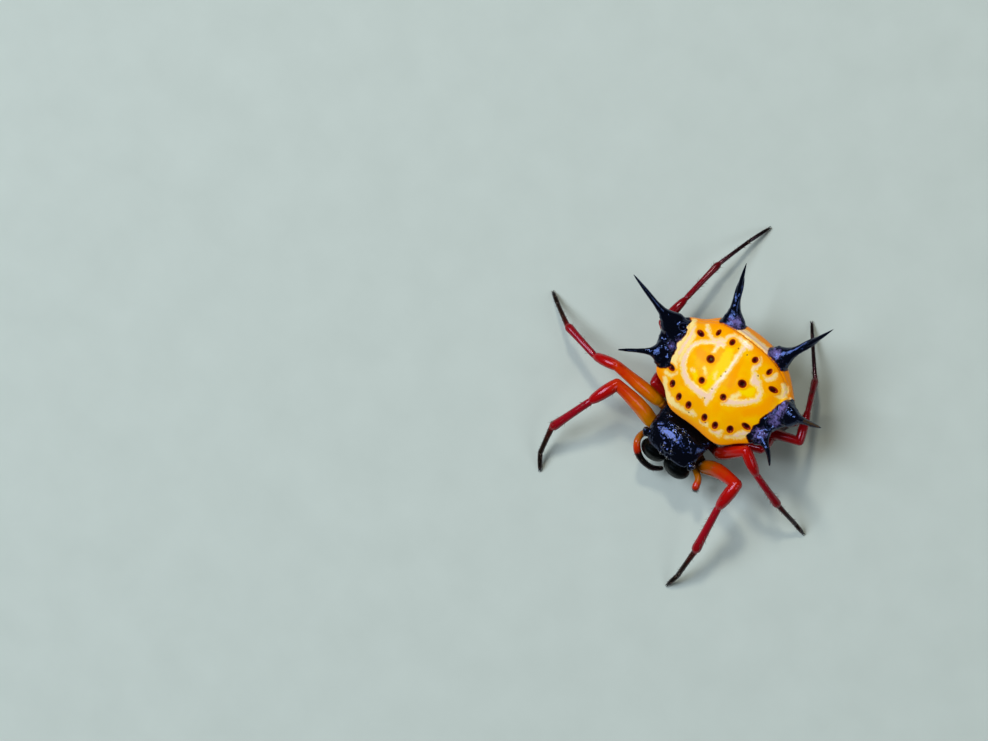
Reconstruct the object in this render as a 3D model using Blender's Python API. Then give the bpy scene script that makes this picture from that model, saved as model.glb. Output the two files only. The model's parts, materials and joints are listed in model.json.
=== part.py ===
"""A female spiny orb weaver at life size, standing with her legs spread.

Run with: blender --background --python part.py
World frame in metres: she faces -Y, her left is +X, and her feet stand on z = 0.
The shapes are worked out in millimetres, then brought to metres and set over the origin.
"""
import math

import bmesh
import bpy
from mathutils import Matrix, Vector

MM = 0.001

# Sizes in millimetres, angles in degrees. In a list for both sides, the left comes first.
GAP = 0.3
EYE_GAP = 0.09

# Frames of the two halves of the body, tipped together
BODY_ROLL = 8.0
ABDOMEN_PITCH = 10.0
PLATE_CENTRE = Vector((0.0, 0.0, 5.5))
HEAD_CENTRE = Vector((0.0, -3.0, 2.2))

# The abdomen's hard plate: half its outline, from the front middle round to the rear middle
PLATE_OUTLINE = ((0.0, -3.36), (1.75, -3.38), (2.75, -2.6), (3.85, -1.65), (4.6, -0.3),
                 (4.35, 1.05), (3.1, 2.0), (1.75, 2.65), (0.0, 2.85))
OUTLINE_STEPS = 3
PLATE_DROP_SIDE = 1.35
PLATE_DROP_FRONT = 1.1
PLATE_DROP_REAR = 0.6
PLATE_CURVE = 2.4
PLATE_RINGS = (0.25, 0.48, 0.68, 0.84, 0.95, 1.0)
# Below the plate: size against the outline, depth under the centre, shift to the rear
UNDER_RINGS = ((1.0, -1.6, 0.08), (0.95, -1.95, 0.2), (0.8, -2.3, 0.5), (0.62, -2.75, 0.95),
               (0.43, -3.35, 1.1), (0.25, -3.95, 1.1), (0.12, -4.25, 1.05))
REAR_WALL_BULGE = 1.12

# Spines: root, bend and tip in the plate's frame (left side), root and neck radii, and how
# far the right tip stands from the mirrored left one
SPINES = {
    "front": {"root": (3.5, -1.25, -1.2), "bend": (4.75, -1.75, -0.75), "tip": (5.42, -2.1, 0.05),
              "right_shift": (0.4, -0.12, 0.0), "radii": (0.82, 0.36)},
    "middle": {"root": (3.9, 0.6, -1.1), "bend": (5.5, 1.1, -0.55), "tip": (6.85, 1.68, 1.2),
               "right_shift": (0.65, 0.35, 0.0), "radii": (0.98, 0.4)},
    "rear": {"root": (1.55, 2.0, -1.15), "bend": (2.35, 4.2, -1.15), "tip": (3.4, 6.4, -0.4),
             "right_shift": (-0.3, -0.03, 0.0), "radii": (0.86, 0.4)},
}
SPINE_SIDES = 9
SPINE_RINGS = 9
SPINE_NECK = 0.42
SPINE_TIP_RADIUS = 0.06

SPINNERET_TOP = (0.0, 1.02, -4.25 - GAP)
SPINNERET_RINGS = ((0.0, 0.46), (0.18, 0.52), (0.38, 0.4), (0.5, 0.22))
SPINNERET_SIDES = 10

PEDICEL_FROM = Vector((0.0, -0.93, 2.3))
PEDICEL_TO = Vector((0.0, -0.62, 2.42))
PEDICEL_RADIUS = 0.26

# The carapace along y in the head's frame: y, half width, lowest, highest
SHIELD_SECTIONS = ((-2.36, 1.36, 0.6, 0.98), (-2.24, 1.64, 0.42, 1.08), (-1.7, 1.8, 0.24, 1.18),
                   (-0.95, 1.84, 0.14, 1.08), (-0.3, 1.84, 0.12, 0.8), (0.5, 1.7, 0.12, 0.58),
                   (1.25, 1.25, 0.12, 0.44), (1.7, 0.75, 0.14, 0.34))
# The sternum block under it, between the coxae
STERNUM_SECTIONS = ((-1.6, 0.55, -0.7, 0.5), (-1.0, 0.82, -1.0, 0.5), (0.0, 0.85, -1.05, 0.4),
                    (1.0, 0.74, -1.0, 0.34), (1.6, 0.42, -0.8, 0.26))
SECTION_SIDES = 20
SECTION_SQUARENESS = 2.6
EYE_TUBERCLE = (1.64, -2.02, 0.74)
EYE_TUBERCLE_RADIUS = 0.3
EYE_MOUND = (0.0, -2.06, 0.74)
EYE_MOUND_RADIUS = 0.4

# Eyes in the head's frame: place and radius
EYES = {
    "front_median": ((0.24, -2.36, 0.7), 0.12),
    "rear_median": ((0.28, -2.05, 1.07), 0.13),
    "front_lateral": ((1.66, -2.26, 0.66), 0.11),
    "rear_lateral": ((1.84, -1.96, 0.84), 0.11),
}
EYE_SUBDIVISIONS = 2

# A chelicera down its own axis: place of the axis, half width, half depth
CHELICERA_RINGS = (((0.89, -2.58, 0.42), 0.38, 0.28), ((0.9, -2.62, 0.3), 0.64, 0.46),
                   ((0.9, -2.66, 0.02), 0.81, 0.6), ((0.88, -2.68, -0.35), 0.8, 0.6),
                   ((0.84, -2.68, -0.72), 0.62, 0.48), ((0.8, -2.66, -0.98), 0.38, 0.34))
CHELICERA_SIDES = 14
FANG_RINGS = (((0.72, -2.7, -0.82), 0.2), ((0.66, -2.74, -1.1), 0.17), ((0.5, -2.64, -1.3), 0.1),
              ((0.32, -2.46, -1.4), 0.03))
FANG_SIDES = 7

# Legs. Coxa roots and hips are in the head's frame, for the left side, front pair first.
COXA_ROOTS = ((1.15, -1.22, -0.52), (1.18, -0.42, -0.52), (1.18, 0.42, -0.52), (1.1, 1.28, -0.5))
HIPS = ((1.98, -1.5, -0.42), (2.3, -0.5, -0.42), (2.2, 0.5, -0.42), (1.75, 1.5, -0.42))
# Femur, patella, tibia, metatarsus and tarsus: length, turn from straight outwards towards the
# rear, and rise. The last two share one slope, which brings the foot to the floor.
LEG_POSES = {
    "leg_1_left": ((3.3, 11, 41), (1.9, -92, -22), (3.38, -82, -25), (2.37, -90, None), (1.05, -102, None)),
    "leg_1_right": ((3.38, 11, 28), (1.86, -70, -8), (3.1, -70, -23), (1.95, -100, None), (1.1, -123, None)),
    "leg_2_left": ((2.93, 42, 53), (1.88, -24, -23), (2.5, -21, -38), (2.04, -12, None), (1.0, -15, None)),
    "leg_2_right": ((3.65, 8, 24), (1.61, -14, -22), (2.58, 9, -17), (1.8, 25, None), (0.85, 28, None)),
    "leg_3_left": ((2.35, 22, 29), (1.05, 80, -45), (1.25, 84, -60), (1.0, 80, None), (0.65, 76, None)),
    "leg_3_right": ((1.8, 0, 36), (1.05, 66, -42), (1.25, 72, -50), (1.0, 69, None), (0.65, 64, None)),
    "leg_4_left": ((4.35, 21, 16), (1.84, 113, -8), (2.4, 117, -38), (2.17, 133, None), (1.44, 132, None)),
    "leg_4_right": ((4.3, 32, 9), (1.81, 106, -6), (2.9, 95, -13), (2.35, 104, None), (1.41, 108, None)),
}
# Radii down a leg: coxa root, hip, then start, middle and end of each segment
LEG_RADII = {
    "coxa": (0.27, 0.32), "femur": (0.33, 0.42, 0.4), "patella": (0.38, 0.37, 0.27),
    "tibia": (0.26, 0.25, 0.29), "metatarsus": (0.25, 0.25, 0.25), "tarsus": (0.24, 0.22, 0.17),
}
LEG_STOUTNESS = {"leg_1": 1.0, "leg_2": 0.9, "leg_3": 0.88, "leg_4": 0.75}
LEG_THINNEST = 0.25
LEG_SIDES = 8
JOINT_REACH = 0.3
FOOT_DEPTH = -0.05

# Palps: points from root to tip in the head's frame (left side of the body), with radii
PALP_RADII = (0.2, 0.24, 0.26, 0.26, 0.25, 0.25, 0.14)
PALPS = {
    "pedipalp_left": ((1.38, -1.98, -0.72), (1.8, -2.14, -0.56), (2.12, -2.3, -0.38), (2.42, -2.66, -0.24),
                      (2.46, -2.98, -0.34), (2.38, -3.04, -0.8), (2.22, -2.98, -1.3)),
    "pedipalp_right": ((1.38, -1.98, -0.72), (1.96, -2.24, -0.32), (2.1, -2.75, 0.3), (1.78, -3.32, 0.08),
                       (1.26, -3.64, -0.42), (0.66, -3.68, -0.98), (0.2, -3.35, -1.36)),
}
PALP_SIDES = 7

# Colour as seen (linear RGB) and roughness of each kind of surface
FINISHES = {
    "shell": ((0.9, 0.36, 0.015), 0.35),
    "black": ((0.006, 0.006, 0.008), 0.2),
    "red": ((0.5, 0.035, 0.012), 0.3),
    "orange": ((0.8, 0.2, 0.02), 0.35),
    "eye": ((0.01, 0.01, 0.012), 0.08),
}


def clear_scene():
    for thing in list(bpy.data.objects):
        bpy.data.objects.remove(thing, do_unlink=True)


def finish_material(name):
    """One Principled material for each kind of surface."""
    material = bpy.data.materials.get(name)
    if material is None:
        colour, roughness = FINISHES[name]
        material = bpy.data.materials.new(name)
        material.use_nodes = True
        shader = material.node_tree.nodes["Principled BSDF"]
        shader.inputs["Base Color"].default_value = (*colour, 1.0)
        shader.inputs["Roughness"].default_value = roughness
        shader.inputs["Metallic"].default_value = 0.0
    return material


def roll_matrix():
    """Left side up."""
    return Matrix.Rotation(math.radians(-BODY_ROLL), 4, "Y")


def plate_frame():
    pitch = Matrix.Rotation(math.radians(ABDOMEN_PITCH), 4, "X")
    return Matrix.Translation(PLATE_CENTRE) @ roll_matrix() @ pitch


def head_frame():
    return Matrix.Translation(HEAD_CENTRE) @ roll_matrix()


def mirrored(point, side):
    """A left-side point on its own side: 1 left, -1 right."""
    return Vector((side * point[0], point[1], point[2]))


def add_object(name, bm, finish, angle=math.radians(50)):
    """Makes the finished object, in millimetres and in the body's frame."""
    bmesh.ops.recalc_face_normals(bm, faces=bm.faces)
    mesh = bpy.data.meshes.new(name)
    bm.to_mesh(mesh)
    bm.free()
    mesh.shade_smooth()
    mesh.set_sharp_from_angle(angle=angle)
    mesh.materials.append(finish_material(finish))
    thing = bpy.data.objects.new(name, mesh)
    bpy.context.scene.collection.objects.link(thing)
    return thing


def loft(rings, bm=None):
    """A closed body through rings of points: one face, extruded and moved ring by ring."""
    if bm is None:
        bm = bmesh.new()
    face = bm.faces.new([bm.verts.new(point) for point in rings[0]])
    for ring in rings[1:]:
        start = face.verts[:]
        corners = [bm.verts.new(point) for point in ring]
        for i, corner in enumerate(corners):
            j = (i + 1) % len(corners)
            bm.faces.new((start[i], start[j], corners[j], corner))
        if face.is_valid and ring is not rings[1]:
            bm.faces.remove(face)
        face = bm.faces.new(corners)
    return bm


def circle(centre, across, up, radius_across, radius_up, sides):
    """Points of an oval round a centre."""
    points = []
    for i in range(sides):
        angle = math.tau * i / sides
        points.append(centre + across * (radius_across * math.cos(angle)) + up * (radius_up * math.sin(angle)))
    return points


def tube_rings(stations, sides):
    """Rings square to a path; stations are (place, radius), with the frame carried along."""
    places = [place for place, _ in stations]
    count = len(places)
    tangents = []
    for i in range(count):
        before = places[max(i - 1, 0)]
        after = places[min(i + 1, count - 1)]
        tangents.append((after - before).normalized())
    across = tangents[0].cross(Vector((0, 0, 1))).normalized()
    rings = []
    for i, (place, radius) in enumerate(stations):
        if i:
            across = tangents[i - 1].rotation_difference(tangents[i]) @ across
        up = across.cross(tangents[i])
        rings.append(circle(place, across, up, radius, radius, sides))
    return rings


def union(name, things):
    """Joins closed meshes into one, and keeps the largest closed surface."""
    group = bpy.data.collections.new(name + "_pieces")
    bpy.context.scene.collection.children.link(group)
    base = things[0]
    for thing in things[1:]:
        bpy.context.scene.collection.objects.unlink(thing)
        group.objects.link(thing)
    join = base.modifiers.new("join", "BOOLEAN")
    join.operation = "UNION"
    join.operand_type = "COLLECTION"
    join.collection = group
    join.solver = "EXACT"
    apply_modifiers(base)
    for thing in things[1:]:
        bpy.data.objects.remove(thing, do_unlink=True)
    bpy.data.collections.remove(group)
    base.name = name
    keep_largest(base.data)
    return base


def carve(base, cutter):
    """Cuts one closed mesh out of another and removes the cutter."""
    cut = base.modifiers.new("cut", "BOOLEAN")
    cut.operation = "DIFFERENCE"
    cut.object = cutter
    cut.solver = "EXACT"
    apply_modifiers(base)
    bpy.data.objects.remove(cutter, do_unlink=True)


def apply_modifiers(thing):
    depsgraph = bpy.context.evaluated_depsgraph_get()
    mesh = bpy.data.meshes.new_from_object(thing.evaluated_get(depsgraph))
    thing.modifiers.clear()
    thing.data = mesh


def keep_largest(mesh):
    """Merges points that all but touch, then drops every closed surface but the largest."""
    bm = bmesh.new()
    bm.from_mesh(mesh)
    bmesh.ops.remove_doubles(bm, verts=bm.verts, dist=0.004)
    bmesh.ops.dissolve_degenerate(bm, edges=bm.edges, dist=0.002)
    waiting = set(bm.faces)
    shells = []
    while waiting:
        edge_of_shell = [waiting.pop()]
        shell = set(edge_of_shell)
        while edge_of_shell:
            face = edge_of_shell.pop()
            for edge in face.edges:
                for other in edge.link_faces:
                    if other in waiting:
                        waiting.discard(other)
                        shell.add(other)
                        edge_of_shell.append(other)
        shells.append(shell)
    shells.sort(key=lambda shell: sum(face.calc_area() for face in shell), reverse=True)
    scraps = [face for shell in shells[1:] for face in shell]
    bmesh.ops.delete(bm, geom=scraps, context="FACES")
    bm.to_mesh(mesh)
    bm.free()


def smooth_outline(half, steps):
    """A closed outline from half of it: mirrored, with a curve through every point."""
    right = [(-x, y) for x, y in reversed(half[1:-1])]
    points = [Vector(point) for point in list(half) + right]
    count = len(points)
    outline = []
    for i in range(count):
        a, b, c, d = (points[(i + k) % count] for k in (-1, 0, 1, 2))
        for step in range(steps):
            t = step / steps
            outline.append(0.5 * ((2 * b) + (c - a) * t + (2 * a - 5 * b + 4 * c - d) * t * t
                                  + (3 * b - a - 3 * c + d) * t * t * t))
    return outline


def plate_drop(point):
    """How far the plate's rim lies below its centre, on the side that the point faces."""
    direction = point.normalized()
    end = PLATE_DROP_FRONT if direction.y < 0 else PLATE_DROP_REAR
    return PLATE_DROP_SIDE * direction.x ** 2 + end * direction.y ** 2


def abdomen_core():
    """The hard plate, its wall and the cone below, ring by ring from the middle of the top."""
    frame = plate_frame()
    outline = smooth_outline(PLATE_OUTLINE, OUTLINE_STEPS)
    rings = []
    for size in PLATE_RINGS:
        ring = []
        for point in outline:
            height = -plate_drop(point) * size ** PLATE_CURVE
            ring.append(frame @ Vector((point.x * size, point.y * size, height)))
        rings.append(ring)
    for size, height, shift in UNDER_RINGS:
        ring = []
        for point in outline:
            bulge = REAR_WALL_BULGE if point.y > 0 and size > 0.9 else 1.0
            ring.append(frame @ Vector((point.x * size, point.y * size * bulge + shift, height)))
        rings.append(ring)
    return add_object("abdomen_core", loft(rings), "shell")


def spine(kind, side):
    """A spine on a wide flared root: a bent path, thick at the root and slender past its neck."""
    shape = SPINES[kind]
    tip = Vector(shape["tip"])
    if side < 0:
        tip += Vector(shape["right_shift"])
    root, bend, tip = (mirrored(point, side) for point in (shape["root"], shape["bend"], tip))
    frame = plate_frame()
    wide, neck = shape["radii"]
    stations = []
    for i in range(SPINE_RINGS):
        t = i / (SPINE_RINGS - 1)
        place = root * (1 - t) ** 2 + bend * 2 * t * (1 - t) + tip * t * t
        if t < SPINE_NECK:
            s = t / SPINE_NECK
            radius = neck + (wide - neck) * (1 - s) ** 1.6
        else:
            s = (t - SPINE_NECK) / (1 - SPINE_NECK)
            radius = neck + (SPINE_TIP_RADIUS - neck) * s ** 0.85
        stations.append((frame @ place, radius))
    return add_object(f"spine_{kind}_{side}", loft(tube_rings(stations, SPINE_SIDES)), "black")


def make_abdomen():
    pieces = [abdomen_core()]
    for kind in SPINES:
        for side in (1, -1):
            pieces.append(spine(kind, side))
    return union("abdomen", pieces)


def make_spinnerets():
    """The short cone of silk organs under the tip of the belly."""
    frame = plate_frame()
    top = Vector(SPINNERET_TOP)
    across = frame.to_3x3() @ Vector((1, 0, 0))
    up = frame.to_3x3() @ Vector((0, 1, 0))
    rings = []
    for depth, radius in SPINNERET_RINGS:
        centre = frame @ (top - Vector((0, 0, depth)))
        rings.append(circle(centre, across, up, radius, radius * 1.1, SPINNERET_SIDES))
    return add_object("spinnerets", loft(rings), "black")


def make_pedicel():
    stations = [(PEDICEL_FROM.lerp(PEDICEL_TO, t), PEDICEL_RADIUS * swell)
                for t, swell in ((0.0, 0.9), (0.5, 1.0), (1.0, 0.9))]
    return add_object("pedicel", loft(tube_rings(stations, 8)), "black")


def section(y, half_width, low, high, frame):
    """One squarish cross-section of the head's half of the body."""
    middle = (low + high) / 2
    half_height = (high - low) / 2
    points = []
    for i in range(SECTION_SIDES):
        angle = math.tau * i / SECTION_SIDES
        c, s = math.cos(angle), math.sin(angle)
        power = 2 / SECTION_SQUARENESS
        x = math.copysign(abs(c) ** power, c) * half_width
        z = math.copysign(abs(s) ** power, s) * half_height
        points.append(frame @ Vector((x, y, middle + z)))
    return points


def ball(centre, radius, name, finish, subdivisions):
    bm = bmesh.new()
    bmesh.ops.create_icosphere(bm, subdivisions=subdivisions, radius=radius,
                               matrix=Matrix.Translation(centre))
    return add_object(name, bm, finish)


def make_carapace():
    """The black shield with the head, the sternum below, and the mounds that carry the eyes."""
    frame = head_frame()
    pieces = []
    for name, sections in (("shield", SHIELD_SECTIONS), ("sternum", STERNUM_SECTIONS)):
        rings = [section(*row, frame) for row in sections]
        pieces.append(add_object(name, loft(rings), "black"))
    for side in (1, -1):
        centre = frame @ mirrored(EYE_TUBERCLE, side)
        pieces.append(ball(centre, EYE_TUBERCLE_RADIUS, f"tubercle_{side}", "black", 2))
    pieces.append(ball(frame @ Vector(EYE_MOUND), EYE_MOUND_RADIUS, "eye_mound", "black", 2))
    body = union("carapace", pieces)
    for kind, (place, radius) in EYES.items():
        for side in (1, -1):
            centre = frame @ mirrored(place, side)
            carve(body, ball(centre, radius + EYE_GAP, f"socket_{kind}_{side}", "black", 2))
    keep_largest(body.data)
    return body


def make_eyes():
    frame = head_frame()
    for kind, (place, radius) in EYES.items():
        for side, word in ((1, "left"), (-1, "right")):
            centre = frame @ mirrored(place, side)
            ball(centre, radius, f"eye_{kind}_{word}", "eye", EYE_SUBDIVISIONS)


def make_chelicera(side, word):
    """The bulging base segment with its fang folded in below."""
    frame = head_frame()
    turn = frame.to_3x3()
    across = turn @ Vector((1, 0, 0))
    deep = turn @ Vector((0, 1, 0))
    rings = []
    for place, half_width, half_depth in CHELICERA_RINGS:
        centre = frame @ mirrored(place, side)
        rings.append(circle(centre, across, deep, half_width, half_depth, CHELICERA_SIDES))
    base = add_object(f"chelicera_base_{side}", loft(rings), "black")
    stations = [(frame @ mirrored(place, side), radius) for place, radius in FANG_RINGS]
    fang = add_object(f"fang_{side}", loft(tube_rings(stations, FANG_SIDES)), "black")
    return union(f"chelicera_{word}", [base, fang])


def make_palp(name, side):
    frame = head_frame()
    points = [frame @ mirrored(point, side) for point in PALPS[name]]
    stations = list(zip(points, PALP_RADII))
    return add_object(name, loft(tube_rings(stations, PALP_SIDES)), "orange")


def leg_joints(name, pair, side):
    """Places of a leg's joints, from the coxa's root to the tip of the foot."""
    frame = head_frame()
    joints = [frame @ mirrored(COXA_ROOTS[pair], side), frame @ mirrored(HIPS[pair], side)]
    pose = LEG_POSES[name]
    foot_length = pose[3][0] + pose[4][0]
    for length, turn, rise in pose:
        if rise is None:
            if len(joints) == 5:
                foot_slope = -math.asin((joints[-1].z - FOOT_DEPTH) / foot_length)
            slope = foot_slope
        else:
            slope = math.radians(rise)
        angle = math.radians(turn)
        step = Vector((side * math.cos(angle) * math.cos(slope), math.sin(angle) * math.cos(slope), math.sin(slope)))
        joints.append(joints[-1] + step * length)
    return joints


def leg_radii(segment, stoutness):
    """A segment's radii on one pair of legs, none thinner than a sound solid needs."""
    return [max(radius * stoutness, min(radius, LEG_THINNEST)) for radius in LEG_RADII[segment]]


def leg_stations(joints, stoutness):
    """Places and radii down a leg, with each bend rounded over a short reach."""
    names = ("coxa", "femur", "patella", "tibia", "metatarsus", "tarsus")
    stations = []
    for i, name in enumerate(names):
        start, end = joints[i], joints[i + 1]
        length = (end - start).length
        direction = (end - start) / length
        reach = min(JOINT_REACH, 0.3 * length)
        first = start if i == 0 else start + direction * reach
        last = end if i == len(names) - 1 else end - direction * reach
        radii = leg_radii(name, stoutness)
        for k, radius in enumerate(radii):
            place = first.lerp(last, k / (len(radii) - 1))
            stations.append((place, radius))
        if i < len(names) - 1:
            after = (joints[i + 2] - end).normalized()
            inwards = (after - direction) * (0.22 * reach)
            stations.append((end + inwards, leg_radii(names[i + 1], stoutness)[0]))
    return stations


def make_leg(name, pair, side):
    """One leg from coxa to foot, with a small flat where it stands."""
    joints = leg_joints(name, pair, side)
    stoutness = LEG_STOUTNESS[name[:5]]
    bm = loft(tube_rings(leg_stations(joints, stoutness), LEG_SIDES))
    geometry = bm.verts[:] + bm.edges[:] + bm.faces[:]
    bmesh.ops.bisect_plane(bm, geom=geometry, dist=0.0001, plane_co=(0, 0, 0), plane_no=(0, 0, -1),
                           clear_outer=True)
    open_edges = [edge for edge in bm.edges if edge.is_boundary]
    bmesh.ops.contextual_create(bm, geom=open_edges)
    return add_object(name, bm, "red")


def settle():
    """Brings every piece to metres, with the middle of the whole box over the origin."""
    pieces = list(bpy.context.scene.objects)
    places = [vertex.co for piece in pieces for vertex in piece.data.vertices]
    middle = [(min(p[axis] for p in places) + max(p[axis] for p in places)) / 2 for axis in (0, 1)]
    move = Matrix.Scale(MM, 4) @ Matrix.Translation((-middle[0], -middle[1], 0.0))
    for piece in pieces:
        piece.data.transform(move)


def main():
    clear_scene()
    make_abdomen()
    make_spinnerets()
    make_pedicel()
    make_carapace()
    make_eyes()
    for side, word in ((1, "left"), (-1, "right")):
        make_chelicera(side, word)
        make_palp(f"pedipalp_{word}", side)
        for pair in range(4):
            make_leg(f"leg_{pair + 1}_{word}", pair, side)
    settle()


main()
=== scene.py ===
# %% [markdown]
# # A spiny orb weaver, dressed piece by piece
# A spiny orb weaver is a small spider. Her abdomen is a hard, wide plate that carries six
# spines, and her head, legs and palps are covered in glossy cuticle. The solids of the model
# already hold her size and her pose. This lesson builds finer pieces in the same places and
# gives each of them its finish.
# Lengths below are in millimetres, because that is how such an animal is measured, and each
# piece is brought to metres when it is finished.

# %% Load the solids
import json
import math
import random

import bmesh
import bpy
import numpy as np
from mathutils import Matrix, Vector

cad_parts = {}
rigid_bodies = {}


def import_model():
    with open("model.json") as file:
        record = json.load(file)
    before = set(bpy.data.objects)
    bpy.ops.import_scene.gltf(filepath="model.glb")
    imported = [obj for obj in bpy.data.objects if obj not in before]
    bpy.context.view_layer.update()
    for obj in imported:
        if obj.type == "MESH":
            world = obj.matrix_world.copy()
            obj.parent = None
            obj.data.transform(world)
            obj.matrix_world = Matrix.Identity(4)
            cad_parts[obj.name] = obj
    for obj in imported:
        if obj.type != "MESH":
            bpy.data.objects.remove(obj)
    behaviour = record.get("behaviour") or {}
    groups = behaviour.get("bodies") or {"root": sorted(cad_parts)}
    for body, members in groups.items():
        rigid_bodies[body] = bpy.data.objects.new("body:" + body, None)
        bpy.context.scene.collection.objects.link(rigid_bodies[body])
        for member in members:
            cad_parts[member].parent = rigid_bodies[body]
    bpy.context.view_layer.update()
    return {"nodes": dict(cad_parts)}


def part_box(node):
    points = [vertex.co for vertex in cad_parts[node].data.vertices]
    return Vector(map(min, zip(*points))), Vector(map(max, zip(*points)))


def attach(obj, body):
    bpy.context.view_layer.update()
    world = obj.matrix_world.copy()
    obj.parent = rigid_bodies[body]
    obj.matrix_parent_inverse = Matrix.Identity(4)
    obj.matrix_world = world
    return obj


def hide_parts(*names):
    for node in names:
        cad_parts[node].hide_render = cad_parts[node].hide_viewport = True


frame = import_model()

MM = 0.001
print("solids:", len(frame["nodes"]), "nodes")

# %% [markdown]
# ## Two frames for the body
# Her two halves are tipped together, left side up, and the abdomen also leans forwards. A
# shape is much easier to describe in its own level frame, where left and right mirror each
# other, so the abdomen and the head each get one. Both are set down on the floor through the
# pedicel, the thin stalk between the halves, which the solids carry too.

# %% Frames of the plate and of the head
BODY_ROLL = 8.0
ABDOMEN_PITCH = 10.0
PLATE_CENTRE = Vector((0.0, 0.0, 5.5))
HEAD_CENTRE = Vector((0.0, -3.0, 2.2))
PEDICEL_FROM = Vector((0.0, -0.93, 2.3))
PEDICEL_TO = Vector((0.0, -0.62, 2.42))

pedicel_low, pedicel_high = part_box("pedicel")
pedicel_middle = (PEDICEL_FROM + PEDICEL_TO) / 2
body_frame = Matrix.Translation((pedicel_low + pedicel_high) / (2 * MM) - pedicel_middle)
roll = Matrix.Rotation(math.radians(-BODY_ROLL), 4, "Y")
pitch = Matrix.Rotation(math.radians(ABDOMEN_PITCH), 4, "X")
plate_frame = body_frame @ Matrix.Translation(PLATE_CENTRE) @ roll @ pitch
head_frame = body_frame @ Matrix.Translation(HEAD_CENTRE) @ roll
print("middle of the plate, mm:", [round(v, 2) for v in plate_frame.translation])

# %% [markdown]
# ## Where the camera looks from
# A close-up lens looks down on her almost from above, turned so that her head points to the
# lower left. The direction is a short lean from straight up, and the turn says how her length
# lies in the picture. From these come the camera's own right, up and backwards directions.

# %% Camera: its direction
CAMERA_TURN = 52.4
LEAN_TO_LEFT = 6.0
LEAN_TO_REAR = 3.0

towards_camera = Vector((math.tan(math.radians(LEAN_TO_LEFT)), math.tan(math.radians(LEAN_TO_REAR)), 1.0))
towards_camera.normalize()
her_rear = Vector((0.0, 1.0, 0.0))
her_rear = (her_rear - towards_camera * her_rear.dot(towards_camera)).normalized()
her_left = her_rear.cross(towards_camera)
turn = math.radians(CAMERA_TURN)
view_right = her_rear * math.cos(turn) + her_left * math.sin(turn)
view_up = her_rear * math.sin(turn) - her_left * math.cos(turn)
print("towards the camera:", [round(v, 3) for v in towards_camera])

# %% [markdown]
# ## The lens
# The camera's place follows from three facts: where the middle of the plate lies in the
# picture, how far away the lens is, and how many millimetres a pixel spans. A long lens from
# 300 mm away keeps the view nearly flat, as a macro lens does.

# %% Camera: its place and lens
IMAGE_WIDTH = 988
IMAGE_HEIGHT = 741
MM_PER_PIXEL = 0.058
CAMERA_DISTANCE = 300.0
PLATE_PIXEL = (719.9, 380.7)
SENSOR_WIDTH = 36.0
NEAREST_SEEN = 0.01
FURTHEST_SEEN = 10.0

focal_pixels = CAMERA_DISTANCE / MM_PER_PIXEL
off_right = (PLATE_PIXEL[0] - IMAGE_WIDTH / 2) / focal_pixels
off_up = (IMAGE_HEIGHT / 2 - PLATE_PIXEL[1]) / focal_pixels
sight = (view_right * off_right + view_up * off_up - towards_camera).normalized()
camera_place = plate_frame.translation - sight * (CAMERA_DISTANCE / sight.dot(-towards_camera))

lens = bpy.data.cameras.new("macro_lens")
lens.sensor_width = SENSOR_WIDTH
lens.lens = SENSOR_WIDTH * focal_pixels / IMAGE_WIDTH
lens.clip_start = NEAREST_SEEN
lens.clip_end = FURTHEST_SEEN
camera = bpy.data.objects.new("camera", lens)
camera.matrix_world = Matrix.Translation(camera_place * MM) @ Matrix(
    (view_right, view_up, towards_camera)).transposed().to_4x4()
bpy.context.scene.collection.objects.link(camera)
bpy.context.scene.camera = camera
print("lens:", round(lens.lens, 1), "mm, camera height:", round(camera_place.z, 1), "mm")

# %% [markdown]
# ## Colours
# Painters pick colours as they look on a screen, as hex values, but a renderer adds light, so
# it needs linear ones. One function does that conversion for every colour below.


# %% Helper: a colour
def shade(hex_value):
    """A colour picked as a hex value, as the linear colour with alpha that a shader needs."""
    channels = []
    for start in (1, 3, 5):
        value = int(hex_value[start:start + 2], 16) / 255
        channels.append(value / 12.92 if value <= 0.04045 else ((value + 0.055) / 1.055) ** 2.4)
    return (*channels, 1.0)


print("her orange in linear light:", [round(channel, 3) for channel in shade("#ff9400")])

# %% [markdown]
# ## Shader nodes
# A procedural material is a tree of small steps: noise, sums, ramps and mixes. One function
# adds a step of any kind, with its settings and its links, in one call, which keeps a long
# material readable as a list. Another starts a material and hands out Object coordinates in
# millimetres, so that a Scale of 10 on a pattern means ten cells to the millimetre.


# %% Helpers: nodes and materials
def connect(tree, node, inputs):
    """Sets a node's inputs, by name or number, to values or to other nodes' outputs."""
    for key, value in inputs.items():
        if isinstance(value, bpy.types.NodeSocket):
            tree.links.new(value, node.inputs[key])
        else:
            node.inputs[key].default_value = value


def add(tree, kind, inputs, output=0, **settings):
    """Adds a node with its settings and its inputs, and gives back one of its outputs."""
    node = tree.nodes.new("ShaderNode" + kind)
    for name, value in settings.items():
        setattr(node, name, value)
    connect(tree, node, inputs)
    return node.outputs[output]


def new_material(name):
    """A material with its tree, its main shader, and Object coordinates in millimetres."""
    material = bpy.data.materials.new(name)
    material.use_nodes = True
    tree = material.node_tree
    place = add(tree, "TexCoord", {}, output="Object")
    place = add(tree, "VectorMath", {0: place, "Scale": 1 / MM}, operation="SCALE")
    return material, tree, tree.nodes["Principled BSDF"], place


# A smooth rise in a Map Range node, and a mix of two colours in a Mix node
SOFT = {"interpolation_type": "SMOOTHSTEP"}
BLEND = {"output": 2, "data_type": "RGBA"}


print("a Scale of 10 on a pattern makes cells of", 1 / 10, "mm")

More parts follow.
